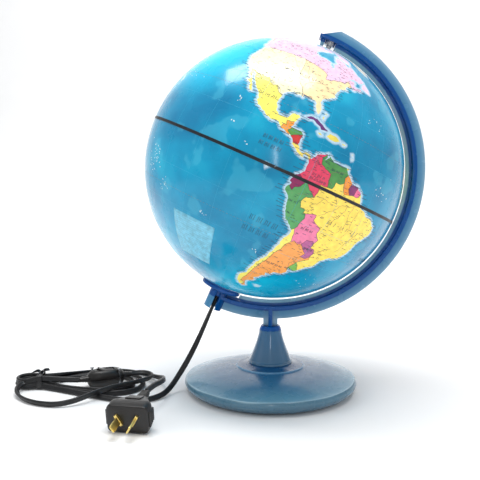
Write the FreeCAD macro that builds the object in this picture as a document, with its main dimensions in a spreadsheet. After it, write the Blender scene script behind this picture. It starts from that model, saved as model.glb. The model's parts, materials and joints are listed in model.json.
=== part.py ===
"""Illuminated desktop globe on a stand, as a parametric document.

Millimetres, +Z up. The origin is on the stand's axis at the level of its foot. The meridian arm lies in
the XZ plane and leans its north end towards +X. Polar pieces are drawn in a frame whose origin is the
globe's centre and whose Z axis is the polar axis.
"""

import FreeCAD, Part

import math
import os

import Sketcher

Vector, Rotation, Placement = FreeCAD.Vector, FreeCAD.Rotation, FreeCAD.Placement

doc = FreeCAD.newDocument("DesktopGlobe")
sheet = doc.addObject("Spreadsheet::Sheet", "Dims")
pieces = {}


# ---------------------------------------------------------------- sizes that remember their formula


class Size:
    """A number and the spreadsheet formula that it comes from."""

    def __init__(self, value, text):
        self.value, self.text = float(value), text

    def __add__(self, other):
        other = size(other)
        return Size(self.value + other.value, f"({self.text} + {other.text})")

    def __sub__(self, other):
        other = size(other)
        return Size(self.value - other.value, f"({self.text} - {other.text})")

    def __mul__(self, other):
        other = size(other)
        return Size(self.value * other.value, f"({self.text} * {other.text})")

    def __truediv__(self, other):
        other = size(other)
        return Size(self.value / other.value, f"({self.text} / {other.text})")

    def __radd__(self, other):
        return size(other) + self

    def __rsub__(self, other):
        return size(other) - self

    def __rmul__(self, other):
        return size(other) * self

    def __neg__(self):
        return Size(-self.value, f"(0 - {self.text})")


def size(number):
    """A Size as it is, or a plain number as a Size."""
    return number if isinstance(number, Size) else Size(number, repr(float(number)))


def root(a):
    return Size(math.sqrt(a.value), f"sqrt({a.text})")


def sine(angle):
    return Size(math.sin(math.radians(angle.value)), f"sin({angle.text})")


def cosine(angle):
    return Size(math.cos(math.radians(angle.value)), f"cos({angle.text})")


def dim(alias, value):
    """Puts a driving dimension in the spreadsheet."""
    row = sheet_rows.setdefault(alias, len(sheet_rows) + 1)
    sheet.set(f"A{row}", alias)
    sheet.set(f"B{row}", str(value))
    sheet.setAlias(f"B{row}", alias)
    return Size(value, f"Dims.{alias}")


sheet_rows = {}

# Globe
globe_radius = dim("globe_radius", 125)
shell_wall = dim("shell_wall", 1.6)
axis_tilt = dim("axis_tilt", 24)
centre_x = dim("centre_x", 2.3)
centre_height = dim("centre_height", 219.5)
tape_width = dim("tape_width", 2.6)
tape_thick = dim("tape_thick", 0.3)
ring_height = dim("ring_height", 10)
north_hole = dim("north_hole", 6)
south_hole = dim("south_hole", 17)
pin_radius = dim("pin_radius", 2.5)
journal_radius = dim("journal_radius", 14)
running_gap = dim("running_gap", 0.05)

# Arm
band_inner = dim("band_inner", 134.3)
band_thick = dim("band_thick", 3)
band_width = dim("band_width", 16)
fin_inner = dim("fin_inner", 128.5)
fin_outer = dim("fin_outer", 147.5)
fin_thick = dim("fin_thick", 2.4)
arm_start = dim("arm_start", 19)
arm_end = dim("arm_end", 202.5)
hub_radius = dim("hub_radius", 9)
hub_end = dim("hub_end", 149.5)
hub_slot = dim("hub_slot", 4.6)
neck_radius = dim("neck_radius", 6.4)
stem_width = dim("stem_width", 14.2)
stem_core = dim("stem_core", 4)
spigot_radius = dim("spigot_radius", 7.2)

# Stand
base_radius = dim("base_radius", 85.8)
crease_radius = dim("crease_radius", 83.8)
crease_height = dim("crease_height", 13.9)
foot_radius = dim("foot_radius", 74.4)
base_wall = dim("base_wall", 2.4)
step_radius = dim("step_radius", 33.8)
step_height = dim("step_height", 25.9)
seat_height = dim("seat_height", 28)
cone_radius = dim("cone_radius", 22)
cone_top = dim("cone_top", 60.9)
collar_radius = dim("collar_radius", 11.1)
collar_height = dim("collar_height", 4.4)
collar_top_radius = dim("collar_top_radius", 9.1)
screw_radius = dim("screw_radius", 2)

# Lamp
holder_radius = dim("holder_radius", 12.5)
cap_radius = dim("cap_radius", 6.9)
bulb_radius = dim("bulb_radius", 13)
lead_bore = dim("lead_bore", 3.6)
neck_end = dim("neck_end", 136)
grip_top = dim("grip_top", 131)
flange_low = dim("flange_low", 128.6)
journal_end = dim("journal_end", 117)
holder_low = dim("holder_low", 92)
holder_floor = dim("holder_floor", 88.6)
holder_top = dim("holder_top", 62)
glass_top = dim("glass_top", 25)

# Lead, switch and plug
cord_width = dim("cord_width", 5.5)
switch_length = dim("switch_length", 38)
switch_width = dim("switch_width", 21)
switch_height = dim("switch_height", 17)
plug_width = dim("plug_width", 36)
plug_height = dim("plug_height", 24.4)
pin_pitch = dim("pin_pitch", 13.7)
blade_width = dim("blade_width", 6.35)
blade_thick = dim("blade_thick", 1.6)
blade_length = dim("blade_length", 17.1)

doc.recompute()

polar_turn = Rotation(Vector(0, 1, 0), axis_tilt.value)
centre = Vector(centre_x.value, 0, centre_height.value)
UPRIGHT = Placement()
AT_CENTRE = Placement(centre, Rotation())
POLAR = Placement(centre, polar_turn)


# ---------------------------------------------------------------- ways to make a piece


def bind(thing, **formulas):
    """Sets each property of a document object from a Size."""
    for name, value in formulas.items():
        thing.setExpression(name, size(value).text)
    return thing


def keep(label, thing, place=None):
    """Names a finished piece and puts it in its place."""
    thing.Label = label
    if place is not None:
        thing.Placement = place
    pieces[label] = thing
    return thing


def plane_of(body, role):
    return next(f for f in body.Origin.OriginFeatures if f.Role == role)


def draw(sketch, outline):
    """Draws a closed outline with every corner held by the spreadsheet.

    Each entry is (x, y), reached by a straight line, or (x, y, radius), reached by an arc. A positive
    radius turns left on the way to the point and a negative one turns right.
    """
    corners = [(size(p[0]), size(p[1])) for p in outline]
    count = len(corners)
    ends = []
    for i in range(count):
        a, b = corners[i - 1], corners[i]
        start, end = Vector(a[0].value, a[1].value, 0), Vector(b[0].value, b[1].value, 0)
        if len(outline[i]) == 2:
            index = sketch.addGeometry(Part.LineSegment(start, end), False)
            ends.append((index, 1, 2))
            continue
        radius = size(outline[i][2])
        chord, reach = end - start, abs(radius.value)
        side = 1 if radius.value > 0 else -1
        height = math.sqrt(max(reach**2 - chord.Length**2 / 4, 0))
        across = Vector(-chord.y, chord.x, 0).normalize() * (side * height)
        middle = (start + end) / 2 + across
        first, last = (start, end) if side > 0 else (end, start)
        angles = [math.atan2(p.y - middle.y, p.x - middle.x) for p in (first, last)]
        circle = Part.Circle(middle, Vector(0, 0, 1), reach)
        index = sketch.addGeometry(Part.ArcOfCircle(circle, angles[0], angles[1]), False)
        ends.append((index, 1, 2) if side > 0 else (index, 2, 1))
        held = sketch.addConstraint(Sketcher.Constraint("Radius", index, reach))
        sketch.setExpression(f"Constraints[{held}]", (radius if side > 0 else -radius).text)
    for i, (index, start, end) in enumerate(ends):
        after = ends[(i + 1) % count]
        sketch.addConstraint(Sketcher.Constraint("Coincident", index, end, after[0], after[1]))
        for axis, name, value in ((-2, "DistanceX", corners[i][0]), (-1, "DistanceY", corners[i][1])):
            if abs(value.value) < 1e-9:
                sketch.addConstraint(Sketcher.Constraint("PointOnObject", index, end, axis))
            else:
                held = sketch.addConstraint(Sketcher.Constraint(name, index, end, value.value))
                sketch.setExpression(f"Constraints[{held}]", value.text)


def new_sketch(body, name, role="XZ_Plane"):
    sketch = body.newObject("Sketcher::SketchObject", name)
    sketch.AttachmentSupport = [(plane_of(body, role), "")]
    sketch.MapMode = "FlatFace"
    return sketch


def turned(label, outline, place=UPRIGHT):
    """A body of revolution about its own Z axis, from its half section in (radius, height)."""
    body = doc.addObject("PartDesign::Body", label + "_body")
    sketch = new_sketch(body, label + "_section")
    draw(sketch, outline)
    feature = body.newObject("PartDesign::Revolution", label + "_turn")
    feature.Profile = sketch
    feature.ReferenceAxis = (sketch, ["V_Axis"])
    feature.Angle = 360
    body.Tip = feature
    return keep(label, body, place)


def pad(body, name, outline, depth, role="XZ_Plane", both_ways=True):
    """Adds a padded outline to a body."""
    sketch = new_sketch(body, name + "_outline", role)
    draw(sketch, outline)
    feature = body.newObject("PartDesign::Pad", name)
    feature.Profile = sketch
    feature.Midplane = both_ways
    bind(feature, Length=depth)
    body.Tip = feature
    return feature


def moulded(label, outline, depth, place=UPRIGHT, role="XZ_Plane", both_ways=True):
    """A body padded from one outline."""
    body = doc.addObject("PartDesign::Body", label + "_body")
    pad(body, label + "_pad", outline, depth, role, both_ways)
    return keep(label, body, place)


def cylinder(name, radius, height, place):
    thing = doc.addObject("Part::Cylinder", name)
    bind(thing, Radius=radius, Height=height)
    thing.Placement = place
    return thing


def box(name, length, width, height, place):
    """A box centred on its place in X and Y, and standing on it in Z."""
    thing = doc.addObject("Part::Box", name)
    bind(thing, Length=length, Width=width, Height=height)
    half = Vector(-size(length).value / 2, -size(width).value / 2, 0)
    thing.Placement = place.multiply(Placement(half, Rotation()))
    return thing


def fuse(name, *things):
    joined = doc.addObject("Part::MultiFuse", name)
    joined.Shapes = list(things)
    return joined


def cut(name, base, *tools):
    """The base less one tool, or less several tools fused together."""
    result = doc.addObject("Part::Cut", name)
    result.Base = base
    result.Tool = tools[0] if len(tools) == 1 else fuse(name + "_tools", *tools)
    return result


def group(label, *things):
    """Separate solids that share one node."""
    compound = doc.addObject("Part::Compound", label + "_group")
    compound.Links = list(things)
    return keep(label, compound)


def along(place, x=0.0, y=0.0, z=0.0, turn=Rotation()):
    """A place moved and turned in its own frame."""
    return place.multiply(Placement(Vector(x, y, z), turn))


# ---------------------------------------------------------------- stand


def make_base_dome():
    """Thin moulded dome: foot rim, rounded edge, crease, shallow dome, raised step and cone seat."""
    inner_foot = foot_radius - 3.4
    turned(
        "base_dome",
        [
            (screw_radius + 0.3, seat_height - 3),
            (9, seat_height - 3),
            (9, seat_height - base_wall),
            (cone_radius, seat_height - base_wall),
            (step_radius - 2, step_height - base_wall - 1),
            (crease_radius - 4, crease_height - base_wall, -230),
            (base_radius - base_wall, 9.0),
            (inner_foot, base_wall),
            (inner_foot, 0),
            (foot_radius, 0),
            (foot_radius + 1.2, 0.4),
            (base_radius, 9.4, 15),
            (crease_radius, crease_height, 8),
            (crease_radius - 1.6, crease_height + 0.6),
            (step_radius, step_height - 1.2, 230),
            (step_radius - 1, step_height, 1.4),
            (cone_radius + 3, seat_height - 0.6, -30),
            (cone_radius + 0.4, seat_height),
            (screw_radius + 0.3, seat_height),
        ],
    )


def make_pedestal_cone():
    """Hollow cone with a socket for the arm's stem and a floor that the screw clamps."""
    floor = seat_height + 4
    socket = spigot_radius + 1.2
    turned(
        "pedestal_cone",
        [
            (screw_radius + 0.3, seat_height),
            (cone_radius, seat_height),
            (cone_radius, seat_height + 2.2),
            (cone_radius - 1.2, seat_height + 3),
            (collar_radius, cone_top, -75),
            (socket, cone_top),
            (socket, floor),
            (screw_radius + 0.3, floor),
        ],
    )


def make_stem_collar():
    """Ring on the cone's top, with a cross-shaped hole that keys the stem."""
    cone = doc.addObject("Part::Cone", "collar_cone")
    bind(cone, Radius1=collar_radius, Radius2=collar_top_radius, Height=collar_height)
    cone.Placement = Placement(Vector(0, 0, cone_top.value), Rotation())
    below = Placement(Vector(0, 0, cone_top.value - 1), Rotation())
    fin_hole = box("collar_fin_hole", stem_width + 0.3, fin_thick + 0.3, collar_height + 2, below)
    core_hole = box("collar_core_hole", stem_core + 0.3, band_width + 0.3, collar_height + 2, below)
    keep("stem_collar", cut("stem_collar_cut", cone, fin_hole, core_hole))


def make_stem_screw():
    """Pan-head screw from below, through the base and the cone, into the stem."""
    seat = seat_height - 3 - 1.2
    turned(
        "stem_screw",
        [
            (0, seat - 2.6),
            (3.2, seat - 2.6),
            (4.2, seat - 1.6, 1.6),
            (4.2, seat),
            (screw_radius, seat),
            (screw_radius, seat_height + 20),
            (0, seat_height + 21.5),
        ],
    )
    turned(
        "stem_washer",
        [
            (screw_radius + 0.2, seat),
            (7, seat),
            (7, seat + 1.2),
            (screw_radius + 0.2, seat + 1.2),
        ],
    )


# ---------------------------------------------------------------- arm


def on_circle(radius, angle):
    """A point at an angle from straight up, turning towards +X."""
    return radius * sine(angle), radius * cosine(angle)


def arc_strip(inner, outer, start, end):
    """The outline of a strip between two circles about the globe's centre, in four arcs."""
    east = size(90)
    return [
        on_circle(outer, start),
        (*on_circle(outer, east), -outer),
        (*on_circle(outer, end), -outer),
        on_circle(inner, end),
        (*on_circle(inner, east), inner),
        (*on_circle(inner, start), inner),
    ]


def make_meridian_arm():
    """Wide thin band with a fin on both sides, the stem below it and the slotted hub at its south end."""
    band_outer = band_inner + band_thick
    body = doc.addObject("PartDesign::Body", "arm_body")
    pad(body, "arm_band", arc_strip(band_inner, band_outer, arm_start, arm_end), band_width)
    fin = arc_strip(fin_inner, fin_outer, arm_start + 1.2, arm_end)
    taper_start = arm_start + 7
    fin[0] = on_circle(band_outer + 1, arm_start + 0.4)
    fin.insert(1, on_circle(fin_outer, taper_start))
    pad(body, "arm_fin", fin, fin_thick)
    body.Placement = AT_CENTRE

    stem_low = cone_top - 6
    stem_top = centre_height - band_outer + 1
    foot = Placement(Vector(0, 0, stem_low.value), Rotation())
    fin = box("stem_fin", stem_width, fin_thick, stem_top - stem_low, foot)
    core = box("stem_core_plate", stem_core, band_width, stem_top - stem_low, foot)
    floor = seat_height + 4
    low = Placement(Vector(0, 0, floor.value), Rotation())
    spigot = cylinder("stem_spigot", spigot_radius, stem_low - floor + 1, low)
    hub_low = along(POLAR, z=-hub_end.value)
    hub_top = flange_low + 0.1
    sleeve = cylinder("hub_sleeve", hub_radius, hub_end - hub_top, hub_low)
    whole = fuse("arm_whole", body, fin, core, spigot, sleeve)

    bore = cylinder("hub_bore", neck_radius + 0.1, 25, along(hub_low, z=-1))
    slot_place = along(hub_low, x=0.4, y=-hub_radius.value, z=-1)
    slot = box("hub_slot", hub_slot, hub_radius * 2 - 2, 19.5, slot_place)
    flange_room = cylinder("flange_room", 20.6, 12, along(POLAR, z=-130.4))
    pilot = cylinder("pilot_hole", screw_radius, 22, low)
    pin_hole = cylinder("pin_hole", pin_radius, 5, along(POLAR, z=band_inner.value - 3))
    boss_room = cylinder("boss_room", 5.4, 8, along(POLAR, z=band_inner.value - 8))
    keep("meridian_arm", cut("arm_cut", whole, bore, slot, flange_room, pilot, pin_hole, boss_room))


def make_north_pivot_pin():
    """Shouldered pin fixed in the arm's north end."""
    turned(
        "north_pivot_pin",
        [
            (0, globe_radius - 4),
            (pin_radius - 0.6, globe_radius - 4),
            (pin_radius, globe_radius - 3.4),
            (pin_radius, band_inner - 4),
            (5, band_inner - 4),
            (5, band_inner),
            (pin_radius, band_inner),
            (pin_radius, band_inner + 2),
            (0, band_inner + 2),
        ],
        POLAR,
    )


# ---------------------------------------------------------------- globe


def shell_edge(radius, hole):
    """How far from the globe's centre a round hole meets a sphere, along the axis."""
    return root(radius * radius - hole * hole)


def make_hemispheres():
    inside = globe_radius - shell_wall
    for label, hole, up in (("north_hemisphere", north_hole, 1), ("south_hemisphere", south_hole, -1)):
        outline = [
            (inside, 0, -up * inside),
            (globe_radius, 0),
            (hole, up * shell_edge(globe_radius, hole), up * globe_radius),
            (hole, up * shell_edge(inside, hole)),
        ]
        turned(label, outline, POLAR)


def make_equator():
    """The joining ring inside and the thin seam tape outside."""
    inside = globe_radius - shell_wall
    half = ring_height / 2
    edge = shell_edge(inside, half)
    turned(
        "joining_ring",
        [
            (edge - 1.6, -half),
            (edge - 0.1, -half),
            (edge - 0.1, half),
            (edge - 1.6, half),
        ],
        POLAR,
    )
    half = tape_width / 2
    turned(
        "equator_tape",
        [
            (globe_radius + 0.01, -half),
            (globe_radius + tape_thick, -half),
            (globe_radius + tape_thick, half),
            (globe_radius + 0.01, half),
        ],
        POLAR,
    )


def make_bushes():
    """Flanged bearings that grip the rims of the two pole openings."""
    for label, hole, bore, up, lip in (
        ("north_bush", north_hole, pin_radius + running_gap, 1, 3),
        ("south_bush", south_hole, journal_radius + running_gap, -1, 2.6),
    ):
        outer = shell_edge(globe_radius, hole) + 0.1
        inner = shell_edge(globe_radius - shell_wall, hole + lip) - 0.1
        turned(
            label,
            [
                (bore, up * (inner - 1.4)),
                (hole + lip, up * (inner - 1.4)),
                (hole + lip, up * inner),
                (hole - 0.05, up * inner),
                (hole - 0.05, up * outer),
                (hole + lip - 0.4, up * outer),
                (hole + lip - 0.4, up * (outer + 1.1)),
                (bore, up * (outer + 1.1)),
            ],
            POLAR,
        )


# ---------------------------------------------------------------- lamp


def make_lamp_carrier():
    """Fixed carrier: neck in the arm's hub, flange, journal for the globe and tube up to the holder."""
    flange_top = shell_edge(globe_radius, south_hole) + 1.5
    turned(
        "lamp_carrier",
        [
            (lead_bore, -neck_end),
            (neck_radius, -neck_end),
            (neck_radius, -flange_low),
            (19.4, -flange_low),
            (20, -flange_low + 0.6),
            (20, -flange_top),
            (journal_radius, -flange_top),
            (journal_radius, -journal_end),
            (journal_radius - 1.8, -journal_end),
            (journal_radius - 1.8, -flange_top + 1),
            (9, -flange_top + 1),
            (7, -holder_low),
            (lead_bore, -holder_low),
        ],
        POLAR,
    )
    grip = lead_bore - 0.02
    turned("cord_grip", [(0, -neck_end), (grip, -neck_end), (grip, -grip_top), (0, -grip_top)], POLAR)
    leads = [
        cylinder(f"inner_lead_{i}", 0.9, 41.9, along(POLAR, x=side * 1.4, z=-grip_top.value))
        for i, side in enumerate((-1, 1))
    ]
    group("inner_leads", *leads)


def make_lampholder():
    turned(
        "lampholder_body",
        [
            (lead_bore, -holder_low),
            (holder_radius - 1, -holder_low),
            (holder_radius, -holder_low + 1),
            (holder_radius, -holder_top),
            (holder_radius - 2.2, -holder_top),
            (holder_radius - 2.2, -holder_floor),
            (lead_bore, -holder_floor),
        ],
        POLAR,
    )
    turned(
        "lampholder_cap",
        [
            (8.6, -holder_top + 0.1),
            (holder_radius, -holder_top + 0.1),
            (holder_radius, -holder_top + 3),
            (holder_radius - 0.8, -holder_top + 3.8),
            (8.6, -holder_top + 3.8),
        ],
        POLAR,
    )
    turned(
        "screw_shell",
        [
            (cap_radius + 0.3, -84),
            (cap_radius + 0.8, -84),
            (cap_radius + 0.8, -63.2),
            (holder_radius - 2.3, -63.2),
            (holder_radius - 2.3, -62.4),
            (cap_radius + 0.3, -62.4),
        ],
        POLAR,
    )
    turned(
        "centre_contact",
        [(0, -88.5), (1.1, -88.5), (1.1, -86.4), (2.6, -85.9), (2.6, -85.3), (0, -85)],
        POLAR,
    )
    screws = []
    for i, side in enumerate((-1, 1)):
        place = along(POLAR, x=side * 5.2, z=-88.5)
        head = cylinder(f"terminal_head_{i}", 1.6, 1.2, along(place, z=2))
        shaft = cylinder(f"terminal_shaft_{i}", 0.9, 2.2, place)
        screws.append(fuse(f"terminal_screw_{i}", head, shaft))
    group("terminal_screws", *screws)


def make_bulb():
    """Small screw-cap bulb: shell cap, pear glass and filament on two posts."""
    turned(
        "bulb_cap",
        [
            (0, -84.6),
            (2.4, -84.6),
            (3, -83.8),
            (cap_radius, -81),
            (cap_radius, -59.5),
            (cap_radius - 0.5, -59.5),
            (cap_radius - 0.5, -80.2),
            (2.6, -82.6),
            (0, -82.6),
        ],
        POLAR,
    )
    glass = 0.8
    turned(
        "bulb_glass",
        [
            (cap_radius - 0.7, -66),
            (cap_radius - 0.6, -58),
            (bulb_radius, -38, -40),
            (0, -glass_top, bulb_radius),
            (0, -glass_top - glass),
            (bulb_radius - glass, -38, -bulb_radius + glass),
            (cap_radius - 0.6 - glass, -58, 40),
            (cap_radius - 0.7 - glass, -66),
        ],
        POLAR,
    )
    stem = cylinder("filament_stem", 1.6, 22, along(POLAR, z=-72))
    posts = [
        cylinder(f"filament_post_{i}", 0.35, 15, along(POLAR, x=side * 1.1, z=-51, turn=tilt))
        for i, (side, tilt) in enumerate(
            ((-1, Rotation(Vector(0, 1, 0), -20)), (1, Rotation(Vector(0, 1, 0), 20)))
        )
    ]
    wire = doc.addObject("Part::Torus", "filament_wire")
    bind(wire, Radius1=6.1, Radius2=0.3)
    wire.Angle3 = 180
    wire.Placement = along(POLAR, z=-37.2, turn=Rotation(Vector(1, 0, 0), -90))
    keep("bulb_filament", fuse("filament_whole", stem, *posts, wire))


# ---------------------------------------------------------------- lead

# The route of the lead from the cord grip to the coil, and from the coil to the plug. Each is a list of
# points chosen by hand.
LEAD_POINTS = [
    (-53.0, 0.0, 95.3),
    (-58.6, 0.0, 82.8),
    (-66.5, -1.0, 64.0),
    (-75.0, -3.0, 45.0),
    (-83.5, -6.5, 28.5),
    (-91.5, -12.5, 15.5),
    (-98.0, -22.0, 6.5),
    (-103.5, -34.0, 3.2),
    (-112.0, -45.5, 2.9),
    (-125.5, -51.5, 2.9),
    (-142.0, -50.0, 2.9),
]
TAIL_POINTS = [
    (-140.5, 38.0, 2.9),
    (-127.5, 29.0, 3.4),
    (-116.5, 14.5, 5.5),
    (-108.0, -3.0, 10.5),
    (-103.5, -24.0, 15.5),
    (-104.0, -46.0, 19.5),
    (-108.0, -64.0, 21.4),
    (-111.0, -77.6, 20.6),
]


def rounded_path(points):
    """Straight runs joined by tangent arcs, as one wire, with each arc's radius in millimetres."""
    corners = [Vector(*p) for p in points]
    edges, radii, last = [], [], corners[0]
    for before, corner, after in zip(corners, corners[1:], corners[2:]):
        back, ahead = before - corner, after - corner
        reach = 0.45 * min(back.Length, ahead.Length)
        back.normalize()
        ahead.normalize()
        turn = math.pi - back.getAngle(ahead)
        start, end = corner + back * reach, corner + ahead * reach
        radius = reach / math.tan(turn / 2)
        inward = (back + ahead).normalize()
        middle = corner + inward * (radius / math.cos(turn / 2) - radius)
        edges.append(Part.LineSegment(last, start).toShape())
        edges.append(Part.Arc(start, middle, end).toShape())
        radii.append(radius)
        last = end
    edges.append(Part.LineSegment(last, corners[-1]).toShape())
    return Part.Wire(edges), radii


def make_tube(label, points):
    """A plain round tube along a rounded path."""
    path, radii = rounded_path(points)
    radius = cord_width.value / 2
    start = Part.Circle(Vector(*points[0]), Vector(*points[1]) - Vector(*points[0]), radius)
    tube = path.makePipeShell([Part.Wire([start.toShape()])], True, False)
    expected = math.pi * radius**2 * path.Length
    print(f"{label}: length {path.Length:.1f}, radii", [round(r, 1) for r in radii])
    print(f"  volume {tube.Volume:.0f} of {expected:.0f}")
    thing = doc.addObject("Part::Feature", label + "_solid")
    thing.Shape = Part.Solid(tube) if tube.ShapeType == "Shell" else tube
    keep(label, thing)


# The coil's outline on the table, anticlockwise from its right end.
COIL_OUTLINE = [
    (-125.0, 6.0),
    (-134.0, 34.0),
    (-160.0, 51.0),
    (-205.0, 47.0),
    (-240.0, 20.0),
    (-257.0, -6.0),
    (-242.0, -36.0),
    (-214.0, -69.0),
    (-186.0, -71.0),
    (-150.0, -62.0),
    (-132.0, -42.0),
]
SWITCH_CENTRE = Vector(-169.0, 4.0, 0.0)
SWITCH_TURN = Rotation(Vector(0, 0, 1), 26)
TIE_CENTRE = Vector(-233.0, -6.0, 0.0)
TIE_TURN = Rotation(Vector(0, 0, 1), 8)


def make_coil():
    """Outer shape of the loose coil: a flat pad with a pocket for the switch and room for the tie."""
    curve = Part.BSplineCurve()
    curve.interpolate(Points=[Vector(x, y, 0.2) for x, y in COIL_OUTLINE], PeriodicFlag=True)
    pad_shape = Part.Face(Part.Wire([curve.toShape()])).extrude(Vector(0, 0, 12.3))
    blank = doc.addObject("Part::Feature", "coil_blank")
    blank.Shape = pad_shape
    seat = Placement(SWITCH_CENTRE, SWITCH_TURN)
    room = box("switch_room", switch_length + 15, switch_width + 1, 30, along(seat, x=2.5, z=-1))
    tie = Placement(TIE_CENTRE, TIE_TURN)
    slot = box("tie_room", 6.4, 60, 30, along(tie, z=-1))
    waist = box("waist_keep", 6.6, 18, 11.4, along(tie, z=1.9))
    keep("cord_coil", fuse("coil_whole", cut("coil_cut", blank, room, slot), waist))


def make_coil_tie():
    """Flat band round the gathered strands."""
    tie = Placement(TIE_CENTRE, TIE_TURN)
    outside = box("tie_outside", 5, 22, 15.2, along(tie, z=0.05))
    inside = box("tie_inside", 8, 18.4, 11.8, along(tie, z=1.7))
    keep("coil_tie", cut("tie_cut", outside, inside))


# ---------------------------------------------------------------- switch


def capsule(length, width, round_end):
    """An outline with straight sides and bulging ends, centred on the origin."""
    x, y = length / 2 - round_end, width / 2
    side = y - round_end
    return [
        (x, -y),
        (x + round_end, -side, round_end),
        (x + round_end, side),
        (x, y, round_end),
        (-x, y),
        (-x - round_end, side, round_end),
        (-x - round_end, -side),
        (-x, -y, round_end),
    ]


def make_switch():
    """In-line switch: lower and upper case halves, rocker on a pin, contact blade and two screws."""
    seat = Placement(SWITCH_CENTRE, SWITCH_TURN)
    half = switch_height / 2
    wall = size(1.8)
    lower = doc.addObject("PartDesign::Body", "switch_lower")
    pad(lower, "switch_lower_pad", capsule(switch_length, switch_width, 8), half, "XY_Plane", False)
    lower.Placement = along(seat, z=0.3)
    hollow_length, hollow_width = switch_length - 8, switch_width - wall * 2 - 3
    floor = along(seat, z=0.3 + wall.value)
    hollow_low = box("switch_hollow_low", hollow_length, hollow_width, half, floor)
    screw_spots = [along(seat, x=sx * 12.5, y=sy * 7.4) for sx, sy in ((-1, 1), (1, -1))]
    low_holes = [cylinder(f"low_hole_{i}", 1.0, 20, along(p, z=-5)) for i, p in enumerate(screw_spots)]
    keep("switch_base", cut("switch_base_cut", lower, hollow_low, *low_holes))

    upper = doc.addObject("PartDesign::Body", "switch_upper")
    pad(upper, "switch_upper_pad", capsule(switch_length, switch_width, 8), half - 0.4, "XY_Plane", False)
    upper.Placement = along(seat, z=0.35 + half.value)
    seam = along(seat, z=0.3 + half.value)
    hollow_top = box("switch_hollow_top", hollow_length, hollow_width, half - wall, seam)
    window = box("switch_window", 17.8, 9.6, 20, along(seat, z=half.value))
    top_holes = [cylinder(f"top_hole_{i}", 1.0, 20, along(p, z=5)) for i, p in enumerate(screw_spots)]
    keep("switch_cover", cut("switch_cover_cut", upper, hollow_top, window, *top_holes))

    pivot = along(seat, z=13.2)
    pin_place = along(pivot, y=-5.6, turn=Rotation(Vector(1, 0, 0), -90))
    keep("rocker_pin", cylinder("rocker_pin_rod", 0.9, 11.2, pin_place))
    rocker = doc.addObject("PartDesign::Body", "rocker_body")
    pad(
        rocker,
        "rocker_pad",
        [
            (-7.4, 1.2),
            (-2.4, -3.2),
            (-1.2, -8.0),
            (1.2, -8.0),
            (2.4, -3.2),
            (7.4, 1.2),
            (7.4, 3.2),
            (0, 3.4, -24),
            (-7.4, 5.6, -24),
        ],
        8.8,
    )
    rocker.Placement = pivot
    rocker_bore = cylinder("rocker_bore", 0.95, 14, along(pivot, y=-7, turn=Rotation(Vector(1, 0, 0), -90)))
    keep("switch_rocker", cut("rocker_cut", rocker, rocker_bore))

    moulded(
        "switch_contact",
        [(-11, 0), (11, 0), (11, 0.5), (4, 0.5), (0, 1.6, 9), (-4, 0.5, 9), (-11, 0.5)],
        4,
        along(seat, z=2.4),
    )
    screws = []
    for i, place in enumerate(screw_spots):
        head = cylinder(f"case_screw_head_{i}", 1.9, 0.9, along(place, z=17.0))
        shaft = cylinder(f"case_screw_shaft_{i}", 0.95, 15, along(place, z=2.2))
        screws.append(fuse(f"case_screw_{i}", head, shaft))
    group("switch_screws", *screws)


# ---------------------------------------------------------------- plug

PLUG_FACE = Vector(-118.0, -127.3, 12.6)
PLUG_PLACE = Placement(
    PLUG_FACE, Rotation(Vector(0, 0, 1), -8).multiply(Rotation(Vector(1, 0, 0), 9))
)


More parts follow.
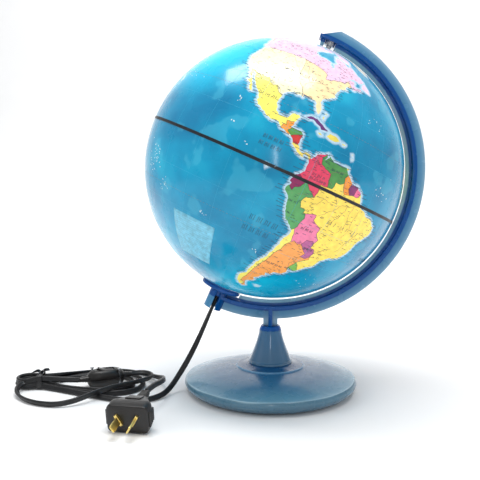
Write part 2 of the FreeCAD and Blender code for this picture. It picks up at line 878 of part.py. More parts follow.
def make_plug():
    """Moulded plug. In its own frame the pins point to -Y and the body runs back to +Y."""
    body = doc.addObject("PartDesign::Body", "plug_moulding")
    face_depth, body_depth, back_width, back_height = 12, 30, 17, 13
    pad(body, "plug_face", capsule(plug_width, plug_height, 5), face_depth, "XZ_Plane", False)
    body.Tip.Reversed = True
    doc.recompute()
    sketches = []
    for name, offset, outline in (
        ("plug_front", face_depth, capsule(plug_width - 1.2, plug_height - 1.2, 4.6)),
        ("plug_back", body_depth, capsule(size(back_width), size(back_height), 2.5)),
    ):
        sketch = new_sketch(body, name)
        sketch.AttachmentOffset = Placement(Vector(0, 0, -offset), Rotation())
        draw(sketch, outline)
        sketches.append(sketch)
    loft = body.newObject("PartDesign::AdditiveLoft", "plug_taper")
    loft.Profile = sketches[0]
    loft.Sections = [sketches[1]]
    loft.Ruled = True
    body.Tip = loft
    body.Placement = PLUG_PLACE
    ears = [
        box(f"plug_grip_{i}", 5.2, 11, 14, along(PLUG_PLACE, x=side * 17.2, y=9.5, z=-7.5))
        for i, side in enumerate((-1, 1))
    ]
    keep("plug_body", fuse("plug_whole", body, *ears))

    pins = []
    for i, side in enumerate((-1, 1)):
        slant = Rotation(Vector(0, 1, 0), 30 * side)
        root_place = along(PLUG_PLACE, x=side * pin_pitch.value / 2, turn=slant)
        shoulder = box(f"pin_shoulder_{i}", 2.6, 2.6, 10.4, along(root_place, y=-1.35, z=-5.2))
        blade = box(
            f"pin_blade_{i}",
            blade_thick,
            blade_length - 1.6,
            blade_width,
            along(root_place, y=-2.6 - (blade_length.value - 1.6) / 2, z=-blade_width.value / 2),
        )
        tip = box(
            f"pin_tip_{i}",
            blade_thick * 0.6,
            2.4,
            blade_width - 1.6,
            along(root_place, y=-blade_length.value - 1.2, z=-blade_width.value / 2 + 0.8),
        )
        pins.append(fuse(f"plug_pin_{i}", shoulder, blade, tip))
    group("plug_pins", *pins)

    relief = doc.addObject("PartDesign::Body", "relief_moulding")
    ribs = [(5.6, body_depth + 0.02)]
    for i in range(4):
        low = body_depth + 2.4 + 4.2 * i
        high = low + 1.8
        wide, narrow = 5.6 - 0.35 * i, 4.4 - 0.3 * i
        ribs += [(wide, low), (narrow, low), (narrow, high), (wide - 0.35, high)]
    ribs += [(4.0, body_depth + 19.6)]
    outline = ribs + [(-x, y) for x, y in reversed(ribs)]
    pad(relief, "relief_pad", outline, 9.6, "XY_Plane")
    relief.Placement = PLUG_PLACE
    keep("plug_strain_relief", relief)


# ---------------------------------------------------------------- build and write


make_base_dome()
make_pedestal_cone()
make_stem_collar()
make_stem_screw()
make_meridian_arm()
make_north_pivot_pin()
make_hemispheres()
make_equator()
make_bushes()
make_lamp_carrier()
make_lampholder()
make_bulb()
make_tube("cord_lead", LEAD_POINTS)
make_tube("cord_tail", TAIL_POINTS)
make_coil()
make_coil_tie()
make_switch()
make_plug()

doc.recompute()

failed = [o.Label for o in doc.Objects if {"Invalid", "Error"} & set(o.State)]
if failed:
    raise RuntimeError(f"failed objects: {failed}")
for label, thing in pieces.items():
    shape = thing.Shape
    if shape.isNull() or not shape.isValid() or not shape.Solids:
        raise RuntimeError(f"{label} has no valid solid")

os.makedirs("parts", exist_ok=True)
for label, thing in pieces.items():
    thing.Shape.exportStep(f"parts/{label}.step")
print(f"{len(pieces)} pieces written")
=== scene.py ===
"""Illuminated desktop globe: printed sphere, meridian arm, moulded stand, flat lead, switch and plug.

Metres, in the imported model's own frame. Lengths written as a number times MM are millimetres.
"""

import json
import math
import random

import bmesh
import bpy
import numpy
from mathutils import Matrix, Vector
from mathutils.geometry import delaunay_2d_cdt


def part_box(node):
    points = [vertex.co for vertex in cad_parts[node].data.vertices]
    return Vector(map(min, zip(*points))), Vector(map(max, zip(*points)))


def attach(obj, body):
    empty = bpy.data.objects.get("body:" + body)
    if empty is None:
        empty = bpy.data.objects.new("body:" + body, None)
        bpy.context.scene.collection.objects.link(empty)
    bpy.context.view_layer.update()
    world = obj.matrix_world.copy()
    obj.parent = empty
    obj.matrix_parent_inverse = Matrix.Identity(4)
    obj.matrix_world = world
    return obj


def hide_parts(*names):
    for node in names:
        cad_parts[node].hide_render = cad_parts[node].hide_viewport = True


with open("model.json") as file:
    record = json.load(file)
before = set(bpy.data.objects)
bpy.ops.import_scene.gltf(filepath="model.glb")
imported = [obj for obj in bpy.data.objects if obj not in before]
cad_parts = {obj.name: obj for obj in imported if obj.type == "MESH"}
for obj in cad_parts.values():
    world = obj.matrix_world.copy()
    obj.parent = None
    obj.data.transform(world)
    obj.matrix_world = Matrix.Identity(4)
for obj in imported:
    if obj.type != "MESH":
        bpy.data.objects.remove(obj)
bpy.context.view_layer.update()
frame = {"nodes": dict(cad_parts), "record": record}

MM = 0.001
JOINTS = {joint["name"]: joint for joint in frame["record"]["behaviour"]["joints"]}
CENTRE = Vector(JOINTS["globe_spin"]["pos_m"])
POLE = Vector(JOINTS["globe_spin"]["axis"]).normalized()
POLAR = Matrix((Vector((POLE.z, 0, -POLE.x)), Vector((0, 1, 0)), POLE)).transposed()
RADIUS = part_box("north_hemisphere")[1][1]
SHELL = 1.6 * MM
FACING = -88.2
LUG_SPLIT = (CENTRE - POLE * 0.14).x
NORTH_EDGE, SOUTH_EDGE = 87.2, -82.1


# ---------------------------------------------------------------- colours and materials


def tint(red, green, blue):
    """A linear colour from one written as 0 to 255."""
    return tuple(
        (c / 255 / 12.92) if c <= 10 else ((c / 255 + 0.055) / 1.055) ** 2.4 for c in (red, green, blue)
    )


class Nodes:
    """A material's node tree, with short ways to add and join nodes."""

    def __init__(self, name):
        self.material = bpy.data.materials.new(name)
        self.material.use_nodes = True
        self.tree = self.material.node_tree
        self.shader = self.tree.nodes["Principled BSDF"]

    def add(self, kind, **settings):
        node = self.tree.nodes.new(kind)
        for key, value in settings.items():
            if key in node.inputs:
                node.inputs[key].default_value = value
            else:
                setattr(node, key, value)
        return node

    def join(self, source, target):
        self.tree.links.new(source, target)

    def noise(self, scale, detail=3.0, roughness=0.5, vector=None):
        node = self.add("ShaderNodeTexNoise")
        node.inputs["Scale"].default_value = scale
        node.inputs["Detail"].default_value = detail
        node.inputs["Roughness"].default_value = roughness
        self.join(vector or self.place(), node.inputs["Vector"])
        return node.outputs["Fac"]

    def place(self):
        return self.add("ShaderNodeTexCoord").outputs["Object"]

    def ramp(self, factor, *stops, ease="LINEAR"):
        node = self.add("ShaderNodeValToRGB")
        node.color_ramp.interpolation = ease
        points = node.color_ramp.elements
        while len(points) < len(stops):
            points.new(0.5)
        for point, (position, colour) in zip(points, stops):
            point.position = position
            point.color = (*colour, 1) if len(colour) == 3 else colour
        self.join(factor, node.inputs["Fac"])
        return node.outputs["Color"]

    def spread(self, factor, low, high, start=0.3, end=0.7):
        node = self.add("ShaderNodeMapRange")
        for key, value in (("From Min", start), ("From Max", end), ("To Min", low), ("To Max", high)):
            node.inputs[key].default_value = value
        self.join(factor, node.inputs["Value"])
        return node.outputs["Result"]

    def mix(self, factor, first, second, blend="MIX"):
        node = self.add("ShaderNodeMix", data_type="RGBA", blend_type=blend)
        for value, socket in ((factor, 0), (first, 6), (second, 7)):
            if isinstance(value, bpy.types.NodeSocket):
                self.join(value, node.inputs[socket])
            elif socket:
                node.inputs[socket].default_value = (*value[:3], 1)
            else:
                node.inputs[socket].default_value = value
        return node.outputs[2]

    def maths(self, operation, first, second=0.0, third=0.0):
        node = self.add("ShaderNodeMath", operation=operation)
        for index, value in enumerate((first, second, third)):
            if isinstance(value, bpy.types.NodeSocket):
                self.join(value, node.inputs[index])
            else:
                node.inputs[index].default_value = value
        return node.outputs[0]

    def bump(self, height, strength, distance):
        node = self.add("ShaderNodeBump")
        node.inputs["Strength"].default_value = strength
        node.inputs["Distance"].default_value = distance
        self.join(height, node.inputs["Height"])
        self.join(node.outputs["Normal"], self.shader.inputs["Normal"])

    def set(self, **values):
        for key, value in values.items():
            self.shader.inputs[key.replace("_", " ")].default_value = value
        return self


def moulded(name, colour, rough=0.3, vary=0.12, grain=900.0, depth=0.02, **shader):
    """A moulded or turned finish: slight colour drift, uneven gloss and a fine surface grain."""
    nodes = Nodes(name)
    drift = nodes.noise(38.0, 4.0)
    dark = tuple(c * (1 - vary) for c in colour)
    light = tuple(min(c * (1 + vary), 1) for c in colour)
    nodes.join(nodes.ramp(drift, (0.3, dark), (0.7, light)), nodes.shader.inputs["Base Color"])
    gloss = nodes.spread(nodes.noise(95.0, 3.0), rough * 0.85, rough * 1.2)
    nodes.join(gloss, nodes.shader.inputs["Roughness"])
    nodes.bump(nodes.noise(grain, 2.0), depth, 0.0004)
    nodes.set(**shader)
    return nodes.material


def base_plastic_with_painted_light():
    """Smoky blue moulding of the dome: deeper in the middle, partly as painted shade beneath the cone, and
    paler and milkier towards the rim, with painted highlight lines at the step ring and the crease and
    painted shade on the side wall.
    """
    nodes = Nodes("smoky_blue_plastic_painted_light")
    parts = nodes.add("ShaderNodeSeparateXYZ")
    nodes.join(nodes.place(), parts.inputs[0])
    across = nodes.maths("POWER", parts.outputs["X"], 2.0)
    along = nodes.maths("POWER", parts.outputs["Y"], 2.0)
    radius = nodes.maths("SQRT", nodes.maths("ADD", across, along))
    waver = nodes.maths("MULTIPLY_ADD", nodes.noise(14.0, 2.0), 0.004, -0.002)
    far = nodes.maths("DIVIDE", nodes.maths("ADD", radius, waver), 0.09)
    # Painted light by distance from the axis: the dark middle is partly painted shade beneath the cone, the
    # pale stops at 0.37 and 0.934 are painted highlights along the step ring and the crease, and the darker
    # stops beyond the crease are painted shade on the side wall.
    colour = nodes.ramp(
        far,
        (0.0, tint(16, 72, 118)),
        (0.355, tint(20, 78, 124)),
        (0.37, tint(104, 156, 190)),
        (0.385, tint(36, 96, 138)),
        (0.64, tint(56, 112, 148)),
        (0.88, tint(96, 144, 168)),
        (0.922, tint(108, 152, 174)),
        (0.934, tint(160, 192, 206)),
        (0.942, tint(74, 116, 138)),
        (1.0, tint(70, 112, 134)),
    )
    # Painted shade: the lower side wall is darkened towards the floor.
    low = nodes.spread(parts.outputs["Z"], 1.0, 0.0, 0.006, 0.0105)
    colour = nodes.mix(low, colour, tint(62, 104, 128))
    nodes.join(colour, nodes.shader.inputs["Base Color"])
    gloss = nodes.spread(nodes.noise(60.0, 3.0), 0.22, 0.34)
    nodes.join(gloss, nodes.shader.inputs["Roughness"])
    nodes.bump(nodes.noise(700.0, 2.0), 0.006, 0.0004)
    nodes.set(Coat_Weight=0.35, Coat_Roughness=0.1)
    return nodes.material


def cone_plastic():
    """Clear smoky blue of the pedestal cone, paler towards its foot."""
    nodes = Nodes("cone_blue_plastic")
    parts = nodes.add("ShaderNodeSeparateXYZ")
    nodes.join(nodes.place(), parts.inputs[0])
    low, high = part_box("pedestal_cone")
    height = nodes.spread(parts.outputs["Z"], 0.0, 1.0, low[2], high[2])
    colour = nodes.ramp(
        height, (0.0, tint(60, 108, 142)), (0.35, tint(68, 112, 146)), (1.0, tint(60, 114, 154))
    )
    nodes.join(colour, nodes.shader.inputs["Base Color"])
    gloss = nodes.spread(nodes.noise(60.0, 3.0), 0.16, 0.26)
    nodes.join(gloss, nodes.shader.inputs["Roughness"])
    nodes.bump(nodes.noise(700.0, 2.0), 0.02, 0.0004)
    nodes.set(Coat_Weight=0.4, Coat_Roughness=0.08, Transmission_Weight=0.12, IOR=1.46)
    return nodes.material


def arm_plastic():
    """Translucent blue moulding: the wide band is deep blue and its thin fins are painted pale, as painted
    light for the light passing through them and to lift the inner fin out of its shade.
    """
    nodes = Nodes("arm_blue_plastic")
    away = nodes.add("ShaderNodeVectorMath", operation="DISTANCE")
    nodes.join(nodes.place(), away.inputs[0])
    away.inputs[1].default_value = CENTRE
    parts = nodes.add("ShaderNodeSeparateXYZ")
    nodes.join(nodes.place(), parts.inputs[0])
    reach = nodes.maths("DIVIDE", away.outputs["Value"], 0.16)
    # Painted light: the pale fin stops stand in for light passing through the thin fins, and the inner fin is
    # lightened against the shade it sits in; the band between is the moulding's own deep blue.
    band_and_painted_light_fins = nodes.ramp(
        reach,
        (0.79, tint(160, 204, 220)),
        (0.822, tint(140, 190, 212)),
        (0.825, tint(0, 88, 162)),
        (0.872, tint(0, 80, 156)),
        (0.876, tint(74, 136, 178)),
        (0.9, tint(96, 150, 186)),
        (0.93, tint(150, 186, 208)),
    )
    sideways = nodes.maths("ABSOLUTE", parts.outputs["Y"])
    on_band = nodes.spread(sideways, 0.0, 1.0, 0.0014, 0.0018)
    colour = nodes.mix(on_band, band_and_painted_light_fins, tint(0, 80, 152))
    outside = nodes.maths("GREATER_THAN", away.outputs["Value"], 0.1378)
    left = nodes.maths("LESS_THAN", parts.outputs["X"], LUG_SPLIT)
    lug = nodes.maths("MULTIPLY", outside, left)
    colour = nodes.mix(lug, colour, tint(74, 140, 184))
    nodes.join(colour, nodes.shader.inputs["Base Color"])
    gloss = nodes.spread(nodes.noise(60.0, 3.0), 0.2, 0.3)
    nodes.join(gloss, nodes.shader.inputs["Roughness"])
    nodes.bump(nodes.noise(600.0, 2.0), 0.02, 0.0004)
    nodes.set(Coat_Weight=0.12, Specular_IOR_Level=0.3, Transmission_Weight=0.08, IOR=1.46)
    return nodes.material


def map_print_with_painted_glow():
    """Printed and varnished map: the sea's depth tints, the pale shore line, and softly mottled land, with a
    faint painted glow from emitting the print's own colour.
    """
    nodes = Nodes("map_print_with_painted_glow")
    ink = nodes.add("ShaderNodeAttribute", attribute_name="ink")
    zone = nodes.add("ShaderNodeAttribute", attribute_name="zone")
    parts = nodes.add("ShaderNodeSeparateColor")
    nodes.join(zone.outputs["Color"], parts.inputs[0])
    land, shore, light = parts.outputs[0], parts.outputs[1], parts.outputs[2]
    sea = nodes.ramp(
        nodes.noise(17.0, 3.5, 0.52),
        (0.34, tint(0, 116, 158)),
        (0.46, tint(0, 134, 174)),
        (0.56, tint(2, 146, 186)),
        (0.68, tint(20, 164, 198)),
    )
    shelves = nodes.ramp(nodes.noise(46.0, 2.0, 0.4), (0.60, (0, 0, 0)), (0.64, (1, 1, 1)))
    sea = nodes.mix(nodes.maths("MULTIPLY", shelves, 0.24), sea, tint(84, 190, 214))
    sea = nodes.mix(light, sea, tint(0, 206, 240))
    ticks = nodes.add("ShaderNodeTexWave", wave_type="BANDS", bands_direction="DIAGONAL")
    ticks.inputs["Scale"].default_value = 900.0
    ticks.inputs["Distortion"].default_value = 3.0
    nodes.join(nodes.place(), ticks.inputs["Vector"])
    hatch = nodes.spread(ticks.outputs["Fac"], 0.55, 1.0, 0.2, 0.6)
    ragged = nodes.maths("MULTIPLY_ADD", nodes.noise(180.0, 3.0), 0.5, -0.25)
    edge = nodes.spread(nodes.maths("ADD", shore, ragged), 0.0, 0.85, 0.25, 0.7)
    sea = nodes.mix(nodes.maths("MULTIPLY", edge, hatch), sea, tint(212, 232, 244))
    mottle = nodes.spread(nodes.noise(210.0, 4.0), 0.86, 1.08)
    paper = nodes.mix(1.0, ink.outputs["Color"], mottle, "MULTIPLY")
    relief = nodes.ramp(nodes.noise(420.0, 2.0, 0.7), (0.64, (0, 0, 0)), (0.70, (1, 1, 1)))
    paper = nodes.mix(nodes.maths("MULTIPLY", relief, 0.16), paper, tint(120, 96, 80))
    colour = nodes.mix(land, sea, paper)
    nodes.join(colour, nodes.shader.inputs["Base Color"])
    # Painted glow: the print's colour is also emitted, as if the sphere were lit from inside.
    nodes.join(colour, nodes.shader.inputs["Emission Color"])
    gloss = nodes.spread(nodes.noise(45.0, 3.0), 0.24, 0.34)
    nodes.join(gloss, nodes.shader.inputs["Roughness"])
    nodes.bump(nodes.noise(320.0, 2.0), 0.015, 0.0004)
    # The emission strength here sets that painted glow.
    nodes.set(Emission_Strength=0.17, Coat_Weight=0.6, Coat_Roughness=0.13, Specular_IOR_Level=0.15)
    return nodes.material


def ink_line(name, colour, rough=0.4):
    nodes = Nodes(name)
    worn = nodes.ramp(
        nodes.noise(260.0, 3.0), (0.3, colour), (0.75, tuple(min(1, c * 1.5 + 0.02) for c in colour))
    )
    nodes.join(worn, nodes.shader.inputs["Base Color"])
    nodes.join(nodes.spread(nodes.noise(80.0), rough * 0.8, rough * 1.2), nodes.shader.inputs["Roughness"])
    return nodes.material


def tape_print():
    """Black seam tape with the pale tick marks of a degree scale."""
    nodes = Nodes("degree_tape")
    parts = nodes.add("ShaderNodeSeparateXYZ")
    turned = nodes.add("ShaderNodeVectorRotate", rotation_type="Y_AXIS")
    moved = nodes.add("ShaderNodeVectorMath", operation="SUBTRACT")
    nodes.join(nodes.place(), moved.inputs[0])
    moved.inputs[1].default_value = CENTRE
    nodes.join(moved.outputs[0], turned.inputs["Vector"])
    turned.inputs["Angle"].default_value = math.asin(POLE.x)
    nodes.join(turned.outputs[0], parts.inputs[0])
    angle = nodes.maths("ARCTAN2", parts.outputs["Y"], parts.outputs["X"])
    steps = nodes.maths("FRACT", nodes.maths("MULTIPLY", angle, 36 / math.tau))
    tick = nodes.maths("LESS_THAN", steps, 0.3)
    middle = nodes.maths("LESS_THAN", nodes.maths("ABSOLUTE", parts.outputs["Z"]), 0.00035)
    pale = nodes.maths("MULTIPLY", nodes.maths("MULTIPLY", tick, middle), 0.45)
    ink = nodes.ramp(nodes.noise(200.0), (0.3, tint(10, 14, 20)), (0.7, tint(26, 34, 42)))
    nodes.join(nodes.mix(pale, ink, tint(150, 170, 180)), nodes.shader.inputs["Base Color"])
    nodes.join(nodes.spread(nodes.noise(70.0), 0.35, 0.5), nodes.shader.inputs["Roughness"])
    return nodes.material


def cord_rubber():
    """Satin PVC sheath with faint scuffs and a fine grain."""
    nodes = Nodes("cord_pvc")
    scuff = nodes.noise(160.0, 5.0, 0.65)
    ink = nodes.ramp(scuff, (0.35, tint(9, 9, 11)), (0.72, tint(25, 25, 28)))
    nodes.join(ink, nodes.shader.inputs["Base Color"])
    nodes.join(nodes.spread(nodes.noise(90.0, 4.0), 0.34, 0.52), nodes.shader.inputs["Roughness"])
    nodes.bump(nodes.noise(1200.0, 2.0), 0.05, 0.0003)
    nodes.set(Specular_IOR_Level=0.5)
    return nodes.material


def clear_glass(name, colour):
    nodes = Nodes(name)
    nodes.join(nodes.spread(nodes.noise(30.0), 0.02, 0.06), nodes.shader.inputs["Roughness"])
    nodes.set(Base_Color=(*colour, 1), Transmission_Weight=1.0, IOR=1.5)
    return nodes.material


MATERIALS = {
    "map": map_print_with_painted_glow(),
    "ink": ink_line("map_ink", tint(36, 30, 42)),
    "river": ink_line("river_ink", tint(122, 106, 88)),
    "grid": ink_line("grid_ink", tint(40, 164, 196)),
    "mark": ink_line("label_ink", tint(16, 44, 70)),
    "panel": ink_line("legend_paper", tint(112, 184, 208)),
    "panel_ink": ink_line("legend_ink", tint(104, 158, 184)),
    "speck": ink_line("island_ink", tint(206, 228, 232)),
    "tape": tape_print(),
    "base": base_plastic_with_painted_light(),
    "cone": cone_plastic(),
    "arm": arm_plastic(),
    "deep": moulded("deep_blue_plastic", tint(0, 78, 150), 0.26, Coat_Weight=0.12, Specular_IOR_Level=0.3),
    "inner": moulded("inner_plastic", tint(208, 212, 208), 0.45),
    "black": moulded("black_plastic", tint(25, 22, 21), 0.36, 0.25, 1500.0, 0.05),
    "cord": cord_rubber(),
    "tie": moulded("tie_plastic", tint(26, 26, 28), 0.3, 0.2),
    "brass_pin": moulded("brass_pin", tint(240, 214, 132), 0.36, 0.15, 1400.0, 0.03, Metallic=1.0),
    "brass": moulded("plain_brass", tint(196, 160, 90), 0.32, 0.15, Metallic=1.0),
    "steel": moulded("plated_steel", tint(176, 178, 182), 0.28, 0.1, Metallic=1.0),
    "copper": moulded("copper", tint(198, 116, 76), 0.3, 0.1, Metallic=1.0),
    "cap": moulded("rolled_aluminium", tint(190, 190, 192), 0.35, 0.1, Metallic=1.0),
    "filament": moulded("filament_wire", tint(110, 110, 112), 0.4, 0.1, Metallic=1.0),
    "holder": moulded("holder_plastic", tint(226, 222, 208), 0.4),
    "glass": clear_glass("bulb_glass_clear", (0.96, 0.96, 0.95)),
}

CAD_FINISH = {
    "equator_tape": "tape",
    "meridian_arm": "arm",
    "lamp_carrier": "deep",
    "stem_screw": "steel",
    "stem_washer": "steel",
    "north_pivot_pin": "steel",
    "joining_ring": "inner",
    "north_bush": "deep",
    "south_bush": "deep",
    "cord_grip": "inner",
    "inner_leads": "copper",
    "lampholder_body": "holder",
    "lampholder_cap": "holder",
    "screw_shell": "brass",
    "centre_contact": "brass",
    "terminal_screws": "brass",
    "bulb_glass": "glass",
    "bulb_cap": "cap",
    "bulb_filament": "filament",
    "rocker_pin": "steel",
    "switch_contact": "brass",
    "switch_screws": "steel",
    "switch_rocker": "black",
    "stem_collar": "deep",
}


# ---------------------------------------------------------------- ways to make a piece


def piece(name, points, faces, finish, body, smooth=True, slots=None, normals=None):
    """A mesh object that rides on a CAD body. slots gives each face's material by number."""
    mesh = bpy.data.meshes.new(name)
    mesh.from_pydata([tuple(p) for p in points], [], faces)
    for key in finish if isinstance(finish, (list, tuple)) else [finish]:
        mesh.materials.append(MATERIALS[key])
    if slots:
        mesh.polygons.foreach_set("material_index", slots)
    mesh.polygons.foreach_set("use_smooth", [smooth] * len(mesh.polygons))
    if normals:
        mesh.normals_split_custom_set_from_vertices(normals)
    mesh.validate()
    made = bpy.data.objects.new(name, mesh)
    bpy.context.scene.collection.objects.link(made)
    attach(made, body)
    return made


def shade_by_angle(thing, degrees=35):
    """Splits the shading at sharp edges and keeps flat faces flat."""
    edges = bmesh.new()
    edges.from_mesh(thing.data)
    bmesh.ops.recalc_face_normals(edges, faces=edges.faces)
    limit = math.radians(degrees)
    for edge in edges.edges:
        edge.smooth = len(edge.link_faces) == 2 and edge.calc_face_angle(0) < limit
    edges.to_mesh(thing.data)
    edges.free()
    return thing


def rounded(outline, radii, steps=5):
    """A closed outline with each corner rounded to its radius."""
    points = [Vector(p) for p in outline]
    result = []
    for i, corner in enumerate(points):
        radius = radii[i] if isinstance(radii, (list, tuple)) else radii
        back, ahead = points[i - 1] - corner, points[(i + 1) % len(points)] - corner
        turn = math.pi - back.angle(ahead)
        if radius <= 0 or turn < 0.05:
            result.append(corner)
            continue
        reach = min(radius * math.tan(turn / 2), back.length * 0.48, ahead.length * 0.48)
        start, end = corner + back.normalized() * reach, corner + ahead.normalized() * reach
        for k in range(steps + 1):
            t = k / steps
            result.append(start * (1 - t) ** 2 + corner * 2 * t * (1 - t) + end * t * t)
    return result


def lathe(name, profile, finish, body, count=144, place=Matrix()):
    """A closed ring turned about Z from a closed profile of (radius, height)."""
    points, faces = [], []
    size = len(profile)
    for i in range(count):
        angle = math.tau * i / count
        for radius, height in profile:
            points.append(place @ Vector((radius * math.cos(angle), radius * math.sin(angle), height)))
        for j in range(size):
            a, b = i * size + j, i * size + (j + 1) % size
            c, d = ((i + 1) % count) * size + (j + 1) % size, ((i + 1) % count) * size + j
            faces.append((a, b, c, d))
    return shade_by_angle(piece(name, points, faces, finish, body), 32)


def rounded_rectangle(width, height, corner, steps=5):
    x, y = width / 2, height / 2
    return rounded([(x, -y), (x, y), (-x, y), (-x, -y)], corner, steps)


def loft(sections, place):
    """Points and faces of a closed skin through rings with the same number of points."""
    points = [place @ Vector(p) for ring in sections for p in ring]
    size, faces = len(sections[0]), []
    for i in range(len(sections) - 1):
        for j in range(size):
            k = (j + 1) % size
            faces.append((i * size + j, i * size + k, (i + 1) * size + k, (i + 1) * size + j))
    faces.append(tuple(reversed(range(size))))
    last = (len(sections) - 1) * size
    faces.append(tuple(range(last, last + size)))
    return points, faces


def block(size, place, bevel):
    """Points and faces of a bevelled box centred on its place."""
    solid = bmesh.new()
    bmesh.ops.create_cube(solid, size=1.0)
    bmesh.ops.scale(solid, vec=size, verts=solid.verts)
    bmesh.ops.bevel(solid, geom=list(solid.edges), offset=bevel, segments=3, profile=0.5, affect="EDGES")
    bmesh.ops.transform(solid, matrix=place, verts=solid.verts)
    solid.verts.index_update()
    points = [v.co.copy() for v in solid.verts]
    faces = [tuple(v.index for v in f.verts) for f in solid.faces]
    solid.free()
    return points, faces


def gather(parts):
    """Several (points, faces) as one."""
    points, faces = [], []
    for some_points, some_faces in parts:
        first = len(points)
        points += some_points
        faces += [tuple(i + first for i in face) for face in some_faces]
    return points, faces


def sweep(line, section, frames):
    """A tube's points and faces: section is a list of (side, up) about each point of the line."""
    points, faces = [], []
    size = len(section)
    for i, here in enumerate(line):
        side, up = frames[i]
        points += [here + side * a + up * b for a, b in section]
    for i in range(len(line) - 1):
        for j in range(size):
            k = (j + 1) % size
            faces.append((i * size + j, i * size + k, (i + 1) * size + k, (i + 1) * size + j))
    faces.append(tuple(reversed(range(size))))
    last = (len(line) - 1) * size
    faces.append(tuple(range(last, last + size)))
    return points, faces


# ---------------------------------------------------------------- camera, light and floor


EYE = Vector((-1.7 * MM, -0.640, 205.3 * MM))
glare_out = Vector((-0.02, -0.77, 0.64)).normalized()
glare_view = (CENTRE + glare_out * RADIUS - EYE).normalized()
glare_way = glare_view - 2 * glare_view.dot(glare_out) * glare_out
GLARE_SPOT = CENTRE + glare_out * RADIUS + glare_way * 1.25


def make_studio():
    profile = [(-30.0, 0.0), (1.6, 0.0)]
    for i in range(1, 17):
        angle = math.pi / 32 * i
        profile.append((1.6 + 1.4 * math.sin(angle), 1.4 - 1.4 * math.cos(angle)))
    profile.append((3.0, 6.0))
    points = [(x, y, z) for x in (-20.0, 20.0) for y, z in profile]
    size = len(profile)
    faces = [(i, i + size, i + size + 1, i + 1) for i in range(size - 1)]
    floor = bpy.data.meshes.new("studio_floor")
    floor.from_pydata(points, [], faces)
    floor.polygons.foreach_set("use_smooth", [True] * len(faces))
    paper = Nodes("studio_paper")
    pale = paper.ramp(paper.noise(2.0), (0.3, (0.86, 0.86, 0.86)), (0.7, (0.9, 0.9, 0.9)))
    paper.join(pale, paper.shader.inputs["Base Color"])
    paper.set(Roughness=0.7, Specular_IOR_Level=0.2)
    floor.materials.append(paper.material)
    ground = bpy.data.objects.new("studio_floor", floor)
    bpy.context.scene.collection.objects.link(ground)

    world = bpy.data.worlds.new("studio")
    world.use_nodes = True
    world.node_tree.nodes["Background"].inputs["Color"].default_value = (0.96, 0.98, 1.0, 1)
    world.node_tree.nodes["Background"].inputs["Strength"].default_value = 0.52
    bpy.context.scene.world = world

    for name, spot, aim, width, height, watts in (
        ("glare_softbox", GLARE_SPOT, CENTRE, 1.35, 0.42, 19.0),
        ("left_softbox", (-1.5, -0.5, 0.9), CENTRE, 0.8, 1.2, 7.0),
        ("right_softbox", (1.6, -0.2, 0.7), CENTRE, 0.6, 1.2, 5.0),
        ("front_strip", (0.03, -1.25, 0.42), (0, 0, 0.05), 0.035, 0.34, 0.7),
        ("backdrop_lamp", (0.0, 0.7, 1.9), (0, 3.0, 0.9), 2.4, 0.6, 46.0),
    ):
        lamp = bpy.data.lights.new(name, "AREA")
        lamp.shape = "RECTANGLE"
        lamp.size, lamp.size_y, lamp.energy = width, height, watts
        stand = bpy.data.objects.new(name, lamp)
        stand.location = spot
        stand.visible_glossy = name not in ("left_softbox", "right_softbox")
        stand.rotation_euler = (Vector(aim) - Vector(spot)).to_track_quat("-Z", "Y").to_euler()
        bpy.context.scene.collection.objects.link(stand)

    lens = bpy.data.cameras.new("camera")
    lens.lens, lens.sensor_width = 48.45, 36.0
    eye = bpy.data.objects.new("camera", lens)
    eye.location = EYE
    eye.rotation_euler = (math.pi / 2 - 0.085, 0, 0.045)
    bpy.context.scene.collection.objects.link(eye)
    bpy.context.scene.camera = eye
    bpy.context.scene.view_settings.view_transform = "Standard"


# ---------------------------------------------------------------- lead

# The route's points, in millimetres.
LEAD_POINTS = [
    (-53.0, 0.0, 95.3),
    (-58.6, 0.0, 82.8),
    (-66.5, -1.0, 64.0),
    (-75.0, -3.0, 45.0),
    (-83.5, -6.5, 28.5),
    (-91.5, -12.5, 15.5),
    (-98.0, -22.0, 6.5),
    (-103.5, -34.0, 3.2),
    (-112.0, -45.5, 2.9),
    (-125.5, -51.5, 2.9),
    (-142.0, -50.0, 2.9),
]
TAIL_POINTS = [
    (-140.5, 38.0, 2.9),
    (-127.5, 29.0, 3.4),
    (-116.5, 14.5, 5.5),
    (-108.0, -3.0, 10.5),
    (-103.5, -24.0, 15.5),
    (-104.0, -46.0, 19.5),
    (-108.0, -64.0, 21.4),
    (-111.0, -77.6, 20.6),
]
CORD_WIDTH = 5.5 * MM
CORD_THICK = 3.0 * MM
SWITCH_LENGTH, SWITCH_WIDTH, SWITCH_HEIGHT = 38 * MM, 21 * MM, 17 * MM
SWITCH_RELIEF = 8 * MM

rocker_spot = Vector(JOINTS["rocker_tilt"]["pos_m"])
rocker_axis = Vector(JOINTS["rocker_tilt"]["axis"])
SWITCH_ANGLE = math.atan2(rocker_axis.x, -rocker_axis.y)
SWITCH_PLACE = Matrix.Translation((rocker_spot.x, rocker_spot.y, 0)) @ Matrix.Rotation(SWITCH_ANGLE, 4, "Z")
tie_low, tie_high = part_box("coil_tie")
TIE_SPOT = Vector(((tie_low[0] + tie_high[0]) / 2, (tie_low[1] + tie_high[1]) / 2, 0)) / MM
BEND_SPOT = TIE_SPOT + Vector((-12.2, 0.0, 0.0))
BEND_RADIUS = 12.3


